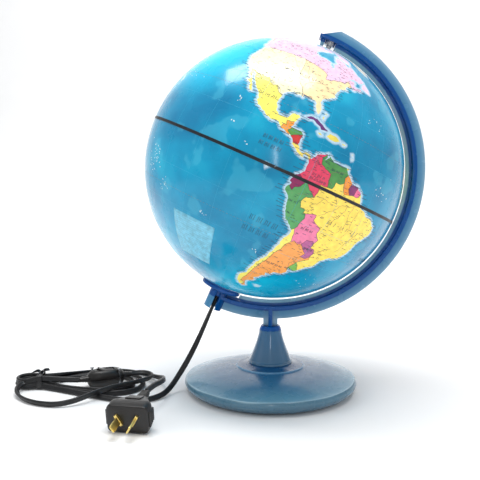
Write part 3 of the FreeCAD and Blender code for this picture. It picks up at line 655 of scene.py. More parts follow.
def fold(layer, start=-90, end=-270, count=5):
    """The lead's turn round the tied end of the hank, in millimetres, at one layer of the stack."""
    height = 3.4 + 2.7 * layer
    bend = []
    for i in range(count):
        angle = math.radians(start + (end - start) * i / (count - 1))
        bend.append(
            (BEND_SPOT.x + BEND_RADIUS * math.cos(angle), BEND_SPOT.y + BEND_RADIUS * math.sin(angle), height)
        )
    return bend


def pinch(side, layer):
    """The lead where it passes through the tie, on the side towards +Y or -Y."""
    return [(TIE_SPOT.x, TIE_SPOT.y + side * 7.2, 3.6 + 2.7 * layer)]


def loose_turn(right, back, front, layer):
    """One loose turn of the hank, from the tie along the back, round the right end and along the front."""
    reach = right - TIE_SPOT.x
    points = []
    for along, wide in (
        (0.12, 0.34),
        (0.27, 0.66),
        (0.45, 0.9),
        (0.63, 1.0),
        (0.79, 0.93),
        (0.91, 0.7),
        (0.985, 0.34),
        (1.0, 0.02),
        (0.985, -0.36),
        (0.92, -0.74),
        (0.8, -0.96),
        (0.63, -1.0),
        (0.45, -0.86),
        (0.28, -0.64),
        (0.12, -0.4),
    ):
        width = back if wide > 0 else front
        lift = layer * 2.7 * max(0.0, 1 - along / 0.35)
        points.append((TIE_SPOT.x + reach * along, TIE_SPOT.y + wide * width, 2.9 + lift))
    return points


def cord_route():
    """The whole lead from the cord grip to the plug, in metres, as its spline's points."""
    relief = SWITCH_PLACE @ Vector((SWITCH_LENGTH / 2 + SWITCH_RELIEF, 0, SWITCH_HEIGHT / 2)) / MM
    through_switch = [
        tuple(SWITCH_PLACE @ Vector((x * MM, 0, SWITCH_HEIGHT / 2)) / MM) for x in (22.0, 6.0, -10.0, -26.0)
    ]
    arriving = [(-158.0, -44.0, 2.9), (-176.0, -36.5, 2.9), (-195.0, -28.0, 2.9), (-213.0, -20.0, 3.0)]
    first_turn = fold(0) + pinch(1, 0) + loose_turn(-129.0, 43, 26, 0) + pinch(-1, 1)
    second_turn = fold(1) + pinch(1, 1) + loose_turn(-138.5, 34, 16.5, 1) + pinch(-1, 2)
    front_strand = [
        (-238.0, -13.6, 8.9),
        (-245.6, -16.0, 8.2),
        (-249.2, -22.6, 6.6),
        (-248.6, -32.0, 4.8),
        (-242.6, -42.5, 3.4),
        (-234.0, -51.5, 2.9),
        (-224.5, -58.8, 2.9),
        (-212.5, -64.2, 2.9),
        (-198.0, -67.0, 3.2),
        (-184.0, -62.0, 4.6),
        (-173.0, -51.0, 6.6),
        (-163.5, -38.5, 7.8),
        (-153.0, -27.0, 8.2),
        (-141.5, -17.0, 8.2),
    ]
    front_strand += [
        (relief.x + 18.4, relief.y - 18.0, 8.2),
        (relief.x + 22.0, relief.y - 11.6, 8.2),
        (relief.x + 22.2, relief.y - 4.4, 8.3),
        (relief.x + 18.6, relief.y + 1.8, 8.4),
        (relief.x + 12.4, relief.y + 5.2, 8.5),
        (relief.x + 5.2, relief.y + 4.6, 8.6),
    ]
    leaving = [(-197.0, -9.5, 9.0), (-213.0, -13.0, 10.4)]
    back_strand = [
        (TIE_SPOT.x + 14, TIE_SPOT.y + 14, 8.6),
        (-206.0, 25.0, 5.6),
        (-190.0, 41.0, 3.2),
        (-173.0, 47.0, 2.9),
        (-155.0, 45.5, 2.9),
    ]
    points = LEAD_POINTS + arriving + pinch(-1, 0) + first_turn + second_turn + front_strand + through_switch
    points += leaving + pinch(-1, 3) + fold(2) + pinch(1, 2) + back_strand + TAIL_POINTS
    return [Vector(p) * MM for p in points]


def smooth_line(points, resolution=7):
    """Points along a NURBS spline of order 3 with those control points."""
    curve = bpy.data.curves.new("route", "CURVE")
    curve.dimensions = "3D"
    spline = curve.splines.new("NURBS")
    spline.points.add(len(points) - 1)
    for spot, target in zip(points, spline.points):
        target.co = (*spot, 1)
    spline.order_u = 3
    spline.use_endpoint_u = True
    curve.resolution_u = resolution
    holder = bpy.data.objects.new("route", curve)
    mesh = bpy.data.meshes.new_from_object(holder)
    line = [v.co.copy() for v in mesh.vertices]
    bpy.data.objects.remove(holder)
    bpy.data.meshes.remove(mesh)
    bpy.data.curves.remove(curve)
    return line


def twin_section(width, thick, count=9):
    """Outline of a flat twin flex: two round cores side by side with a shallow waist."""
    core = thick / 2
    offset = width / 2 - core
    waist = math.acos(min(1.0, offset / core * 0.62))
    outline = []
    for side in (1, -1):
        for i in range(count):
            angle = -math.pi + waist + (math.tau - 2 * waist) * i / (count - 1)
            a = offset + core * math.cos(angle)
            b = core * math.sin(angle)
            outline.append((a, b) if side > 0 else (-a, -b))
    return outline


def make_cord():
    line = smooth_line(cord_route())
    frames, run = [], 0.0
    for i, here in enumerate(line):
        before, after = line[max(i - 1, 0)], line[min(i + 1, len(line) - 1)]
        run += (here - before).length
        ahead = (after - before).normalized()
        side = ahead.cross(Vector((0, 0, 1))).normalized()
        up = side.cross(ahead)
        settle = min(1.0, run / 0.11)
        roll = math.radians(settle * 62 + settle * 20 * math.sin(run / 0.037))
        across = side * math.cos(roll) + up * math.sin(roll)
        frames.append((across, up * math.cos(roll) - side * math.sin(roll)))
    points, faces = sweep(line, twin_section(CORD_WIDTH, CORD_THICK), frames)
    cord = shade_by_angle(piece("mains_lead", points, faces, "cord", "stand"), 60)
    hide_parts("cord_lead", "cord_coil", "cord_tail")
    length = sum((b - a).length for a, b in zip(line, line[1:]))
    return cord, line, length


def make_tie():
    """Black twist tie: a flat band round the pinched strands and two short twisted tails on top."""
    low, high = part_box("coil_tie")
    turn = Matrix.Rotation(math.radians(8), 4, "Z")
    tie_place = Matrix.Translation((TIE_SPOT.x * MM, TIE_SPOT.y * MM, 0)) @ turn
    half, top = (high[1] - low[1]) / 2 - 0.3 * MM, high[2] - 0.2 * MM
    loop = rounded([(half, 0.2 * MM), (half, top), (-half, top), (-half, 0.2 * MM)], 4 * MM, 6)
    points, faces = [], []
    wide, thick = 2.4 * MM, 0.5 * MM
    for i, spot in enumerate(loop):
        before, after = loop[i - 1], loop[(i + 1) % len(loop)]
        out = Vector((after.y - before.y, before.x - after.x)).normalized()
        inner = spot - out * thick * 2
        for x, p in ((-wide, spot), (wide, spot), (wide, inner), (-wide, inner)):
            points.append(tie_place @ Vector((x, p.x, p.y)))
    size = len(loop)
    for i in range(size):
        k = (i + 1) % size
        faces += [(i * 4 + j, i * 4 + (j + 1) % 4, k * 4 + (j + 1) % 4, k * 4 + j) for j in range(4)]
    parts = [(points, faces)]
    for side in (-1, 1):
        route = [
            Vector((side * 0.6 * MM, side * 1.0 * MM, top - 0.4 * MM)),
            Vector((side * 1.4 * MM, -side * 1.2 * MM, top + 1.6 * MM)),
            Vector((side * 4.0 * MM, side * 1.8 * MM, top + 2.6 * MM)),
            Vector((side * 7.5 * MM, side * 4.6 * MM, top + 1.8 * MM)),
        ]
        line = [tie_place @ p for p in smooth_line(route, 8)]
        frames = []
        for i in range(len(line)):
            ahead = (line[min(i + 1, len(line) - 1)] - line[max(i - 1, 0)]).normalized()
            across = ahead.cross(Vector((0.2, 0.1, 1))).normalized()
            twist = math.radians(160 * i / len(line))
            up = across.cross(ahead)
            turned = across * math.cos(twist) + up * math.sin(twist)
            frames.append((turned, up * math.cos(twist) - across * math.sin(twist)))
        band = [(1.5, -0.3), (1.5, 0.3), (-1.5, 0.3), (-1.5, -0.3)]
        parts.append(sweep(line, [(a * MM, b * MM) for a, b in band], frames))
    tie = shade_by_angle(piece("twist_tie", *gather(parts), "tie", "stand"))
    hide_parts("coil_tie")
    return tie


# ---------------------------------------------------------------- printed map

# Outlines are "longitude latitude" in degrees.
NORTH_AMERICA = """-168 65.6, -163.5 66.5, -166.4 68.4, -163 69.5, -156.8 71.3, -150 70.5, -141 69.7,
-135 69.2, -129 70, -124 69.5, -117 68.9, -113.5 67.8, -108 68, -101 67.8, -96 68.2, -94.5 71.8, -91.5 69.6,
-87.8 67.6, -85.5 69.6, -81.5 68.9, -82 66.5, -86.3 66.2, -87.2 64.3, -93 62, -94.7 60.2, -94.6 58.7,
-92.5 57, -87.8 56.2, -82.3 55.1, -82.2 52.9, -80.3 51.3, -78.9 51.8, -79.3 54.7, -76.7 56.6, -78.5 58.8,
-77.6 60.3, -78 62.4, -74 62.3, -70 61, -69.4 58.9, -67.8 58.4, -65.7 58.9, -64.6 60.3, -62.4 58.1,
-61.4 56.4, -58 54.7, -55.8 52.9, -56.9 51.4, -60.2 50.2, -66.4 50.2, -69.6 48.1, -65.5 49.2, -64.4 48.5,
-65.2 47, -64 46.1, -61.6 45.8, -60.1 46.8, -60.2 45.8, -63.6 44.6, -65.9 43.6, -66 44.7, -67.1 44.9,
-69 44.1, -70.6 43.1, -70.9 42.2, -70 41.7, -71.4 41.5, -73.9 40.8, -74.1 39.7, -75.2 38.3, -76 36.9,
-75.6 35.3, -77.6 34.2, -79.3 33.1, -81 31.9, -81.4 30.5, -80.5 28.3, -80.1 26.2, -80.7 25.1, -81.8 26,
-82.8 27.8, -82.8 29.1, -84.1 30.1, -85.4 29.7, -87 30.4, -89.4 30.3, -89.3 29.1, -91.5 29.4, -94.1 29.7,
-96.4 28.4, -97.4 27, -97.3 25.5, -97.8 22.5, -96.5 19.6, -95 18.6, -92.8 18.5, -91.4 18.8, -90.6 20.2,
-90.2 21.1, -87.6 21.6, -86.8 20.9, -87.6 19.5, -88.1 18.2, -88.3 16.6, -88.8 15.9, -86.5 15.8, -84.2 15.9,
-83.2 15, -83.6 13, -83.7 11.1, -82.5 9.5, -81 8.8, -79.7 9.6, -77.5 8.8, -77.0 8.0, -77.6 7.2, -78.4 8.4,
-79.7 8.9, -80.4 8.2, -80.1 7.4, -81.7 7.7, -83 8.3, -83.8 9.2, -84.9 9.8, -85.8 10.3, -85.8 11.1,
-87.6 12.9, -89.5 13.4, -92.2 14.4, -94 16.1, -96.5 15.7, -99.5 16.6, -102 17.9, -104.4 19.1, -105.6 20.4,
-105.3 21.7, -106.6 23.6, -109 25.5, -110.6 27.4, -112.6 29.4, -113.2 31.2, -114.8 31.7, -114.5 30,
-112.9 28.2, -111.3 26, -110.4 24.3, -109.5 23.1, -110.3 23.3, -112.2 25, -112.3 26.2, -114.8 27.4,
-114.1 28.5, -115.8 30.2, -117.1 32.5, -118.5 34, -120.6 34.5, -121.9 36.6, -123.7 38.9, -124.3 40.4,
-124 43.9, -124 46.3, -124.7 48.3, -122.6 48.3, -123.2 49.4, -127.4 51, -128.6 53, -130.4 54.7, -133.5 57.5,
-137 58.7, -140 59.8, -144.5 60.1, -148 60.4, -151.6 59.3, -151.4 61, -154 59, -158 56.7, -162 55.1,
-164.7 54.6, -161 56, -157.7 58.7, -162 58.8, -162.2 60.2, -165.6 61.7, -164.6 63.1, -161 63.8, -161.2 64.6,
-166.2 64.5"""
SOUTH_AMERICA = """-77.0 8.0, -76.6 8.6, -75.6 9.6, -75.4 10.7, -74.4 11.1, -72.8 11.6, -71.6 12.4,
-71.2 11.2, -71.9 9.4, -71 10.9, -70.1 12.1, -69.6 11.4, -68.2 10.6, -66 10.6, -64.2 10.4, -62 10.7,
-61.1 9.5, -60 8.5, -58.5 7.2, -57.2 6, -54 5.9, -51.8 4.6, -50.8 2.5, -50 1.2, -50.4 -0.1, -48.5 -0.7,
-45.6 -1.4, -44.2 -2.7, -41.5 -2.9, -38.6 -3.7, -36.9 -5, -35.3 -5.3, -34.8 -7.5, -35.3 -9.4, -37.1 -11.3,
-38.6 -13.1, -39 -15.6, -39.2 -17.7, -40.2 -20.2, -41.1 -22.1, -43.2 -23, -46.4 -24, -48.5 -25.8,
-48.6 -28.3, -50.2 -30.3, -52.2 -32.2, -53.5 -34, -55 -34.9, -58.2 -34.1, -57.3 -35.6, -56.8 -36.5,
-57.8 -38.2, -62 -39, -62.3 -40.8, -65 -41, -63.8 -42.6, -65.3 -43.5, -65.7 -45.1, -67.5 -46.2, -65.8 -47.8,
-68.6 -50, -69.1 -51.5, -68.3 -52.5, -66 -54.6, -67.4 -55.7, -71 -54.8, -74.4 -52.6, -75.4 -50, -75.4 -47,
-73.2 -45, -73.8 -41.9, -73.3 -39.5, -73.5 -37.1, -72 -34, -71.5 -30.6, -71 -27.6, -70.5 -25.3, -70.2 -21,
-70.4 -18.4, -72 -17.1, -75.4 -15.3, -76.3 -13.8, -77.2 -12, -78.6 -9, -79.8 -7, -81.2 -6, -81.3 -4.6,
-80.3 -3.4, -80.1 -2.6, -81 -2.2, -80.5 -0.6, -80 0.8, -78.8 1.5, -77.4 3.1, -77.4 5.3, -77.6 7.2"""
GREENLAND = """-73 78.2, -65 76.2, -55 70.8, -51.5 69.5, -53.7 66.3, -51.2 63.3, -48 61, -44 60, -41 63.5,
-36 66, -26 68.5, -22 71, -20 75.5, -12 81.5, -30 83.4, -50 82.2, -63 81.2"""
ISLES = {
    "arctic": [
        """-65 61.9, -70 62.7, -77 64.5, -73.5 66, -78 70, -89 70.8, -89.5 73.6, -80.5 73.6, -72 71,
-62 66.5""",
        "-105 69, -117 69.6, -118.5 71.5, -114 73.2, -105 73, -101 70",
        "-89.5 76.5, -80 76.2, -74.5 78.5, -62 82.4, -75 83, -92 81.3, -87 79",
        "-123 71.3, -125.5 72.5, -124 74.2, -116 73.2",
        "-95.5 80.5, -90 78.5, -96 77.5, -105 79",
        "-93 74.2, -95 72.2, -99.5 72, -101 73.8",
        "-110 75, -117 75.4, -116.5 76.6, -107 76.4",
        "-53.2 46.8, -55.9 46.9, -59.3 47.8, -57.2 50.7, -55.6 51.5, -53.3 48.6",
        "-123.4 48.4, -125.6 48.8, -128.3 50.7, -125.4 50.3",
    ],
    "cuba": ["""-84.9 21.9, -83 23.1, -80.2 23.1, -77.2 21.7, -74.3 20.3, -77.6 19.9, -78.2 20.8,
-81.8 22.2"""],
    "antilles": [
        "-74.4 18.4, -73.3 19.9, -71.2 19.9, -68.5 18.7, -71.4 17.8",
        "-78.3 18.3, -77.3 18.5, -76.3 18, -77.4 17.8",
        "-67.2 18.4, -65.7 18.4, -66 18, -67.1 18",
        "-61.9 10.8, -61 10.7, -61.1 10.1, -61.8 10.1",
        "-78.3 25, -77.8 25.1, -77.9 23.9, -78.4 24.4",
        "-77.9 26.9, -77 26.5, -77.4 26.1",
        "-61.7 16.3, -61.3 16.3, -61.4 15.9",
        "-61.2 14.8, -60.9 14.6, -61.1 14.4",
    ],
    "pacific": [
        "-91.4 0, -90.6 -0.3, -91.1 -1",
        "-155.9 20.2, -154.9 19.5, -155.8 19",
        "-158.2 21.6, -157.7 21.3, -158.1 21.3",
        "-61 -51.4, -58 -51.5, -59.4 -52.3",
    ],
}
OLD_WORLD = {
    "eurasia": """-9 37, -9.3 43, -1.8 43.4, -1.2 46, -4.7 48.4, 1.5 50.2, 4 52, 8.5 53.8, 8.2 57,
10.6 57.7, 10.8 54.4, 14 54, 19 54.4, 21 57, 24 59.3, 29 60, 22.5 60, 21.4 63, 25.3 65.5, 22 65.8, 17.2 61,
16.5 57, 14.2 55.4, 11.2 59, 7 58, 5 61.5, 11 64.5, 15 68.3, 25.5 71, 41 67.2, 35 64.4, 38 64, 44 66.3,
44 68.5, 54 68.5, 68 68.5, 67 72.5, 80 72.5, 87 75, 104 77.7, 113 74, 128 73, 140 72.5, 152 71, 160 69.7,
180 69, 190.3 66, 187 64.3, 177.5 62.5, 170 60, 162 56, 157 51, 156 57, 163 61.5, 155 59.3, 143 59.3,
135 54.7, 141 53, 140 48.5, 135 43.5, 130.5 42.3, 127.5 39.5, 129.3 36, 126.5 34.5, 125 38.5, 121.5 39,
118 39, 122.5 37, 119.3 35, 122 31, 121.5 28.5, 117 23.5, 110 20.5, 106 19, 109 13, 105 8.7, 102.5 12.2,
100.5 13.5, 99.3 9.5, 103.5 4, 104 1.3, 101 3, 98.3 8.5, 97.5 16.5, 94.3 16, 92 21.5, 86.5 20.5, 80.2 15.5,
77.5 8, 72.8 19, 69 22.3, 66.8 25, 57 25.7, 48.8 30.3, 51.5 25, 56.4 26, 59.8 22.5, 55 17.5, 45 12.8,
42.7 16.5, 35 28, 32.6 30, 36 36, 30.5 36.5, 27 37, 26.3 39.5, 35 42, 41.5 41.5, 37 45, 31 46.5, 28.5 44,
28 41.5, 24 40.8, 22.9 37, 19.4 41.8, 13.6 45.5, 12.4 44.3, 18.4 40, 16 38, 10.3 43, 8.8 44.4, 3.2 43.2,
-0.3 39.3, -2 36.8, -5.5 36""",
    "africa": """-17 14.7, -17 21, -13 27.8, -9.8 29.8, -6 35.8, 0 35.9, 10 37.3, 11 33.8, 20 31, 25 31.6,
32.6 30, 34 27, 37.2 21, 39.5 15.5, 43.2 11.5, 51.2 11.8, 48 4.5, 42 -1.5, 39 -6.5, 40.7 -14.7, 35 -20,
35.3 -24, 28 -32.8, 20 -34.8, 18 -32, 15 -26.5, 12 -17.5, 13.7 -10.7, 12 -5.5, 9 -1, 9.5 4, 4.4 6.3, -2 4.8,
-7.5 4.4, -13.2 8.5, -16.7 12.3""",
    "australia": """114 -22, 113.7 -26, 115.7 -32, 118 -35, 123.5 -34, 131 -31.5, 135.5 -34.8, 140 -38,
146.3 -39, 150 -37, 153 -32, 153 -26, 149 -21, 145.5 -15, 142.5 -10.8, 140 -17.5, 136.8 -12.3, 131 -12.2,
129 -15, 125 -15, 122.2 -18""",
    "madagascar": "49.3 -12, 50.4 -15.8, 47.2 -25, 44 -25, 43.3 -22, 44.4 -16.5",
    "britain": "-5.5 50, 1.3 51.2, 0.2 53.3, -3 56, -3 58.6, -6 57, -3 54",
    "ireland": "-6 52.2, -9.8 51.6, -9.5 54.2, -6 54.9",
    "iceland": "-22.5 63.8, -14 64.7, -16 66.4, -24 65.7",
    "japan": "130 31.4, 136 33.6, 140.8 35.7, 142 39.5, 145 43.2, 141.7 45.3, 140 41, 136 36.6, 131 34",
    "borneo": "109 1.5, 110.5 -2.8, 116 -4, 119 4.5, 116.5 7, 112.5 3",
    "sumatra": "95.4 5.6, 98 3.9, 104 -1, 106 -5.8, 101 -2.5",
    "java": "105.5 -6.7, 114.3 -7.6, 114.3 -8.6, 106 -7.4",
    "new_guinea": "131 -0.8, 141 -2.6, 150.5 -10.5, 141 -9, 134 -4",
    "philippines": "120.5 18.4, 124 12.5, 126.3 6.5, 122 7, 120.5 14",
    "new_zealand": """172.8 -34.6, 178.4 -37.8, 175 -41.6, 173 -41, 171 -42.5, 166.6 -46, 169 -46.6,
174.6 -41.4""",
    "sri_lanka": "80 9.7, 81.8 7.2, 80.3 6",
    "novaya_zemlya": "52 71, 57 70.7, 68.5 76.6, 58 75",
    "svalbard": "11 79, 17 76.7, 26 80, 14 80",
    "antarctica": """-169 -80, -150 -80.4, -130 -80, -100 -79.6, -76 -79.2, -66 -74, -62 -74, -50 -79,
-30 -78, -10 -71, 20 -70, 50 -67, 80 -68, 110 -66.3, 140 -66.8, 165 -71, 168 -77.5, 191 -80, 199 -80,
199 -88, -177 -88, -177 -80""",
}

# Where one country meets the next. Each runs on where it leaves the land.
COUNTRIES = [
    ("east", """-97 49, -95.5 41, -94 36, -91 33, -89.5 28, -83 24, -79 24, -72 33, -64 41, -66.9 45,
-67.8 46, -69.2 47.4, -71.3 45.2, -74.7 45, -76.2 44.2, -79 43.4, -79 42.8, -82.5 42.4, -82.4 45.3,
-84.5 46.6, -89.5 48, -94.6 48.7""", (252, 222, 170)),
    ("canada", """-141 72, -141 60.3, -137.5 58.9, -135 59.6, -133.4 58.4, -130 56, -130.6 54.6, -135 53.5,
-130 49.5, -125.6 48.2, -123.3 48.4, -122.8 49, -109 49, -95.1 49, -94.6 48.7, -89.5 48, -84.5 46.6,
-82.4 45.3, -82.5 42.4, -79 42.8, -79 43.4, -76.2 44.2, -74.7 45, -71.3 45.2, -69.2 47.4, -67.8 46,
-66.9 45, -66.5 42, -50 44, -50 60, -60 66, -70 76, -58 82, -70 84, -141 84""", (238, 196, 222)),
    ("mexico", """-118 32.6, -114.8 32.6, -111 31.3, -108.2 31.4, -106.5 31.8, -104.5 29.6, -103.1 29,
-101.4 29.8, -99.4 27, -97 25.9, -94 24, -86 23, -86 19, -88.2 18.4, -89.2 17.9, -91 17.8, -90.5 16.1,
-91.7 16.1, -92.3 14.3, -96 14, -106 17, -112 22, -118 29""", (250, 238, 112)),
    ("guatemala", """-92.3 14.3, -91.7 16.1, -90.5 16.1, -91 17.8, -89.2 17.9, -88.2 18.4, -87.5 17,
-88.2 15.8, -89.3 14.4, -87.9 13.4, -90 12.8""", (246, 160, 66)),
    ("honduras", """-88.2 15.8, -89.3 14.4, -87.9 13.4, -87.3 13, -86 13.9, -83 15, -83 16.4,
-88 16.6""", (90, 150, 76)),
    ("nicaragua", "-88.4 12.7, -87.3 13, -86 13.9, -83 15, -83 10.9, -85.7 11, -86.5 10.8", (206, 62, 62)),
    ("isthmus", """-86.5 10.8, -85.7 11, -83.3 10.9, -82 10, -77 9.6, -77.4 8.2, -77.9 6.6,
-84 7""", (250, 226, 110)),
    ("colombia", """-77.4 8.6, -77.4 8.2, -77.9 6.6, -78.6 3, -79 1.6, -77.4 0.6, -75.2 -0.1, -72.9 -2.4,
-70.6 -3.8, -69.9 -4.2, -69.5 -0.6, -69.6 1, -66.9 1.2, -67.4 3.4, -67.6 6.2, -70.3 7, -72.4 8.1,
-72.9 10.6, -71.2 12.6, -74 12.6""", (226, 74, 104)),
    ("venezuela", """-71.2 12.6, -72.9 10.6, -72.4 8.1, -70.3 7, -67.6 6.2, -67.4 3.4, -66.9 1.2, -64.8 1.4,
-64.2 4.2, -62.4 4.1, -60.8 5.2, -61.3 6.9, -60 9, -61 12.4""", (82, 148, 82)),
    ("guyana", """-60 9, -61.3 6.9, -60.8 5.2, -59.9 2.5, -58.9 1.3, -56.6 1.9, -58 4,
-57.2 6.6""", (244, 152, 60)),
    ("suriname", "-57.2 6.6, -58 4, -56.6 1.9, -54.5 2.4, -54.4 4, -54 6.4", (136, 58, 112)),
    ("guiana", "-54 6.4, -54.4 4, -54.5 2.4, -52.6 2.3, -51 4.9", (236, 110, 150)),
    ("ecuador", """-79 1.6, -77.4 0.6, -75.2 -0.1, -76.6 -2.6, -78.4 -3.5, -79 -5, -80.5 -3.6, -83 -3,
-82 1.4""", (142, 42, 92)),
    ("peru", """-80.5 -3.6, -79 -5, -78.4 -3.5, -76.6 -2.6, -75.2 -0.1, -72.9 -2.4, -70.6 -3.8, -69.9 -4.2,
-72.9 -5.2, -73.9 -7.3, -72.8 -9.5, -70.6 -9.6, -70.6 -11, -69.6 -10.9, -68.8 -12.6, -69.3 -15.3,
-69.1 -16.4, -69.6 -17.4, -70.6 -18.6, -78 -17, -83 -5""", (88, 162, 96)),
    ("bolivia", """-69.6 -10.9, -65.4 -9.8, -65.2 -11.8, -60.6 -13.7, -60.2 -16.2, -57.7 -18, -58.1 -20.1,
-59.1 -19.3, -61.8 -19.7, -62.6 -22.2, -64.4 -22.5, -66.3 -21.9, -67.2 -22.9, -68.2 -20.5, -68.6 -19,
-69.6 -17.4, -69.1 -16.4, -69.3 -15.3, -68.8 -12.6""", (238, 128, 166)),
    ("paraguay", """-58.1 -20.1, -59.1 -19.3, -61.8 -19.7, -62.6 -22.2, -60 -24, -57.7 -25.3, -58.6 -27.2,
-55.9 -27.3, -54.6 -25.6, -54.4 -24, -55.6 -22.4, -57.8 -22.1""", (186, 98, 150)),
    ("uruguay", """-57.6 -30.2, -55.9 -31.1, -53.3 -33.8, -52 -35, -57.5 -35.5, -58.5 -34.2,
-58.2 -32.6""", (126, 184, 82)),
    ("argentina", """-67.2 -22.9, -66.3 -21.9, -64.4 -22.5, -62.6 -22.2, -60 -24, -57.7 -25.3, -58.6 -27.2,
-55.9 -27.3, -54.6 -25.6, -53.8 -27.1, -55.8 -28.3, -57.6 -30.2, -58.2 -32.6, -58.5 -34.2, -55 -37, -60 -43,
-62 -54, -65 -56, -68.6 -56, -68.6 -52.4, -71.9 -52, -72.6 -49.5, -71.7 -47, -71.8 -43.8, -71.6 -40,
-70.9 -36.5, -70.1 -33.2, -69.8 -30, -68.4 -27, -68.4 -24.6""", (248, 166, 88)),
    ("chile", """-70.6 -18.6, -69.6 -17.4, -68.6 -19, -68.2 -20.5, -67.2 -22.9, -68.4 -24.6, -68.4 -27,
-69.8 -30, -70.1 -33.2, -70.9 -36.5, -71.6 -40, -71.8 -43.8, -71.7 -47, -72.6 -49.5, -71.9 -52, -68.6 -52.4,
-68.6 -56, -78 -56, -78 -40, -74 -30""", (248, 232, 112)),
]
LAND_COLOURS = {
    "north": (252, 244, 196),
    "south": (254, 224, 98),
    "greenland": (244, 236, 214),
    "arctic": (240, 204, 226),
    "cuba": (104, 58, 118),
    "antilles": (232, 214, 96),
    "pacific": (216, 230, 210),
    "antarctica": (228, 234, 246),
}

# Middles of the countries on the far side, each with one of the print's colours.
FAR_INKS = [(250, 236, 118), (238, 132, 166), (92, 164, 98), (246, 164, 88), (196, 150, 200), (252, 214, 150)]
FAR_COUNTRIES = """-5 40 3, 2 47 4, -3 53 1, 9 51 0, 12 43 2, 8 60 5, 16 63 1, 26 64 0, 20 52 1, 24 46 3,
22 40 4, 31 49 0, 28 54 5, 33 39 2, 44 33 3, 46 24 0, 53 32 1, 60 38 4, 66 34 2, 70 30 5, 78 22 1, 85 28 3,
90 24 0, 96 20 3, 101 15 4, 106 18 2, 104 4 1, 127 37 3, 138 38 1, 105 47 3, 85 43 0, 105 33 0, 118 30 0,
67 48 5, 45 56 2, 62 62 2, 90 62 2, 120 64 2, 150 64 2, 172 66 2, -8 31 1, 2 28 2, 9 34 4, 17 27 0, 29 27 3,
-11 22 5, -3 16 0, 8 17 3, 18 14 4, 30 14 1, 39 9 2, 46 5 5, -12 10 2, -6 8 4, 1 9 5, 8 8 1, 12 5 2, 20 6 0,
12 -2 3, 23 -3 1, 37 0 5, 35 -6 2, 17 -12 4, 27 -14 0, 35 -14 1, 38 -18 3, 24 -22 2, 17 -22 5, 30 -20 4,
24 -31 3, 47 -20 0, 121 -25 0, 133 -20 5, 135 -29 3, 145 -22 1, 146 -32 2, 144 -37 4, 114 0 3, 101 0 2,
110 -7 2, 137 -5 4, 146 -7 1, 122 12 5, 172 -42 0, 80 7 2"""
RIVERS = [
    "-51 -0.4, -54 -2.2, -58 -3, -62 -3.8, -66 -3.2, -70 -4.2, -73.4 -4.4, -76.2 -5.4",
    "-60 -3.2, -61.6 -1.2, -64 -0.3, -67 0.2",
    "-58.6 -3.4, -60.4 -6, -62.8 -8.4, -65 -10",
    "-55 -2.4, -56 -6, -57.8 -9, -58.4 -12",
    "-52 -1.6, -52.6 -5, -51.8 -9, -53 -12.6",
    "-48.6 -1.6, -49.4 -5.6, -48.4 -9.6, -49 -14",
    "-66 -3.2, -67.6 -6, -70 -7.6",
    "-36.8 -10.4, -39.6 -9, -42.6 -10.6, -44 -14, -45 -18.4, -46.2 -20",
    "-58.4 -34, -60 -31.6, -58.8 -27.4, -54.8 -25, -51.6 -21, -49 -19.6",
    "-61.4 9, -64.4 7.8, -67.4 6.6, -67.8 3.8, -65.4 2.6",
    "-74.8 10.8, -74 8, -75 5, -76 2.4",
    "-62.4 -39.8, -66 -39, -69.6 -39.4",
    "-90 29.6, -91 33, -89.6 36.6, -91 40, -93 45, -95 47",
    "-89.4 37, -85 38.4, -81 40",
    "-90.4 38.8, -95 39.4, -98 42.6, -103 47.6, -110 47.8",
    "-97.2 26, -101 29.6, -105 30.8, -106.8 35, -107 37.6",
    "-114.8 32, -113.6 36, -110 38.4, -108 40",
    "-123.8 46.2, -119.4 46, -118 49.4",
]
LABELS = [
    (-89.4, -20.4, 13.0, 1.15, 8),
    (-90.6, -25.4, 12.5, 1.15, 8),
    (-96.8, 9.2, 8.6, 0.8, 8),
    (-97.4, 6.4, 9.6, 0.8, 8),
    (-60.5, -10.6, 20.0, 0.75, 6),
    (-74.5, 3.6, 5.5, 0.5, 5),
    (-74.9, 2.0, 7.0, 0.5, 7),
    (-68.0, 8.0, 6.0, 0.45, 6),
    (-78.6, -8.6, 4.6, 0.45, 4),
    (-68.8, -16.6, 6.0, 0.45, 6),
    (-62.6, -23.8, 5.0, 0.45, 6),
    (-73.0, -36.4, 9.0, 0.5, 8),
    (-107.0, 24.4, 9.0, 0.6, 6),
    (-104.0, 39.5, 22.0, 0.5, 12),
    (-112.0, 58.0, 26.0, 0.6, 6),
    (92.0, -12.0, 18.0, 0.8, 9),
    (-26.0, -20.0, 14.0, 0.8, 8),
]


def spots(text):
    """Places from a text of longitudes and latitudes.

    The print draws the southern cone long and to the west.
    """
    result = []
    for pair in text.replace("\n", " ").split(","):
        lon, lat, *rest = (float(v) for v in pair.split())
        if -90 < lon < -30 and -60 < lat < -8:
            lon, lat = lon + 0.13 * (lat + 8), lat + 0.05 * (lat + 8)
        result.append((lon, lat, *rest))
    return result


def on_globe(lon, lat, radius=RADIUS):
    """A place on the printed sphere at rest, in the frame of the model."""
    turn, rise = math.radians(lon - FACING), math.radians(lat)
    way = Vector((math.cos(rise) * math.sin(turn), -math.cos(rise) * math.cos(turn), math.sin(rise)))
    return CENTRE + POLAR @ (way * radius)


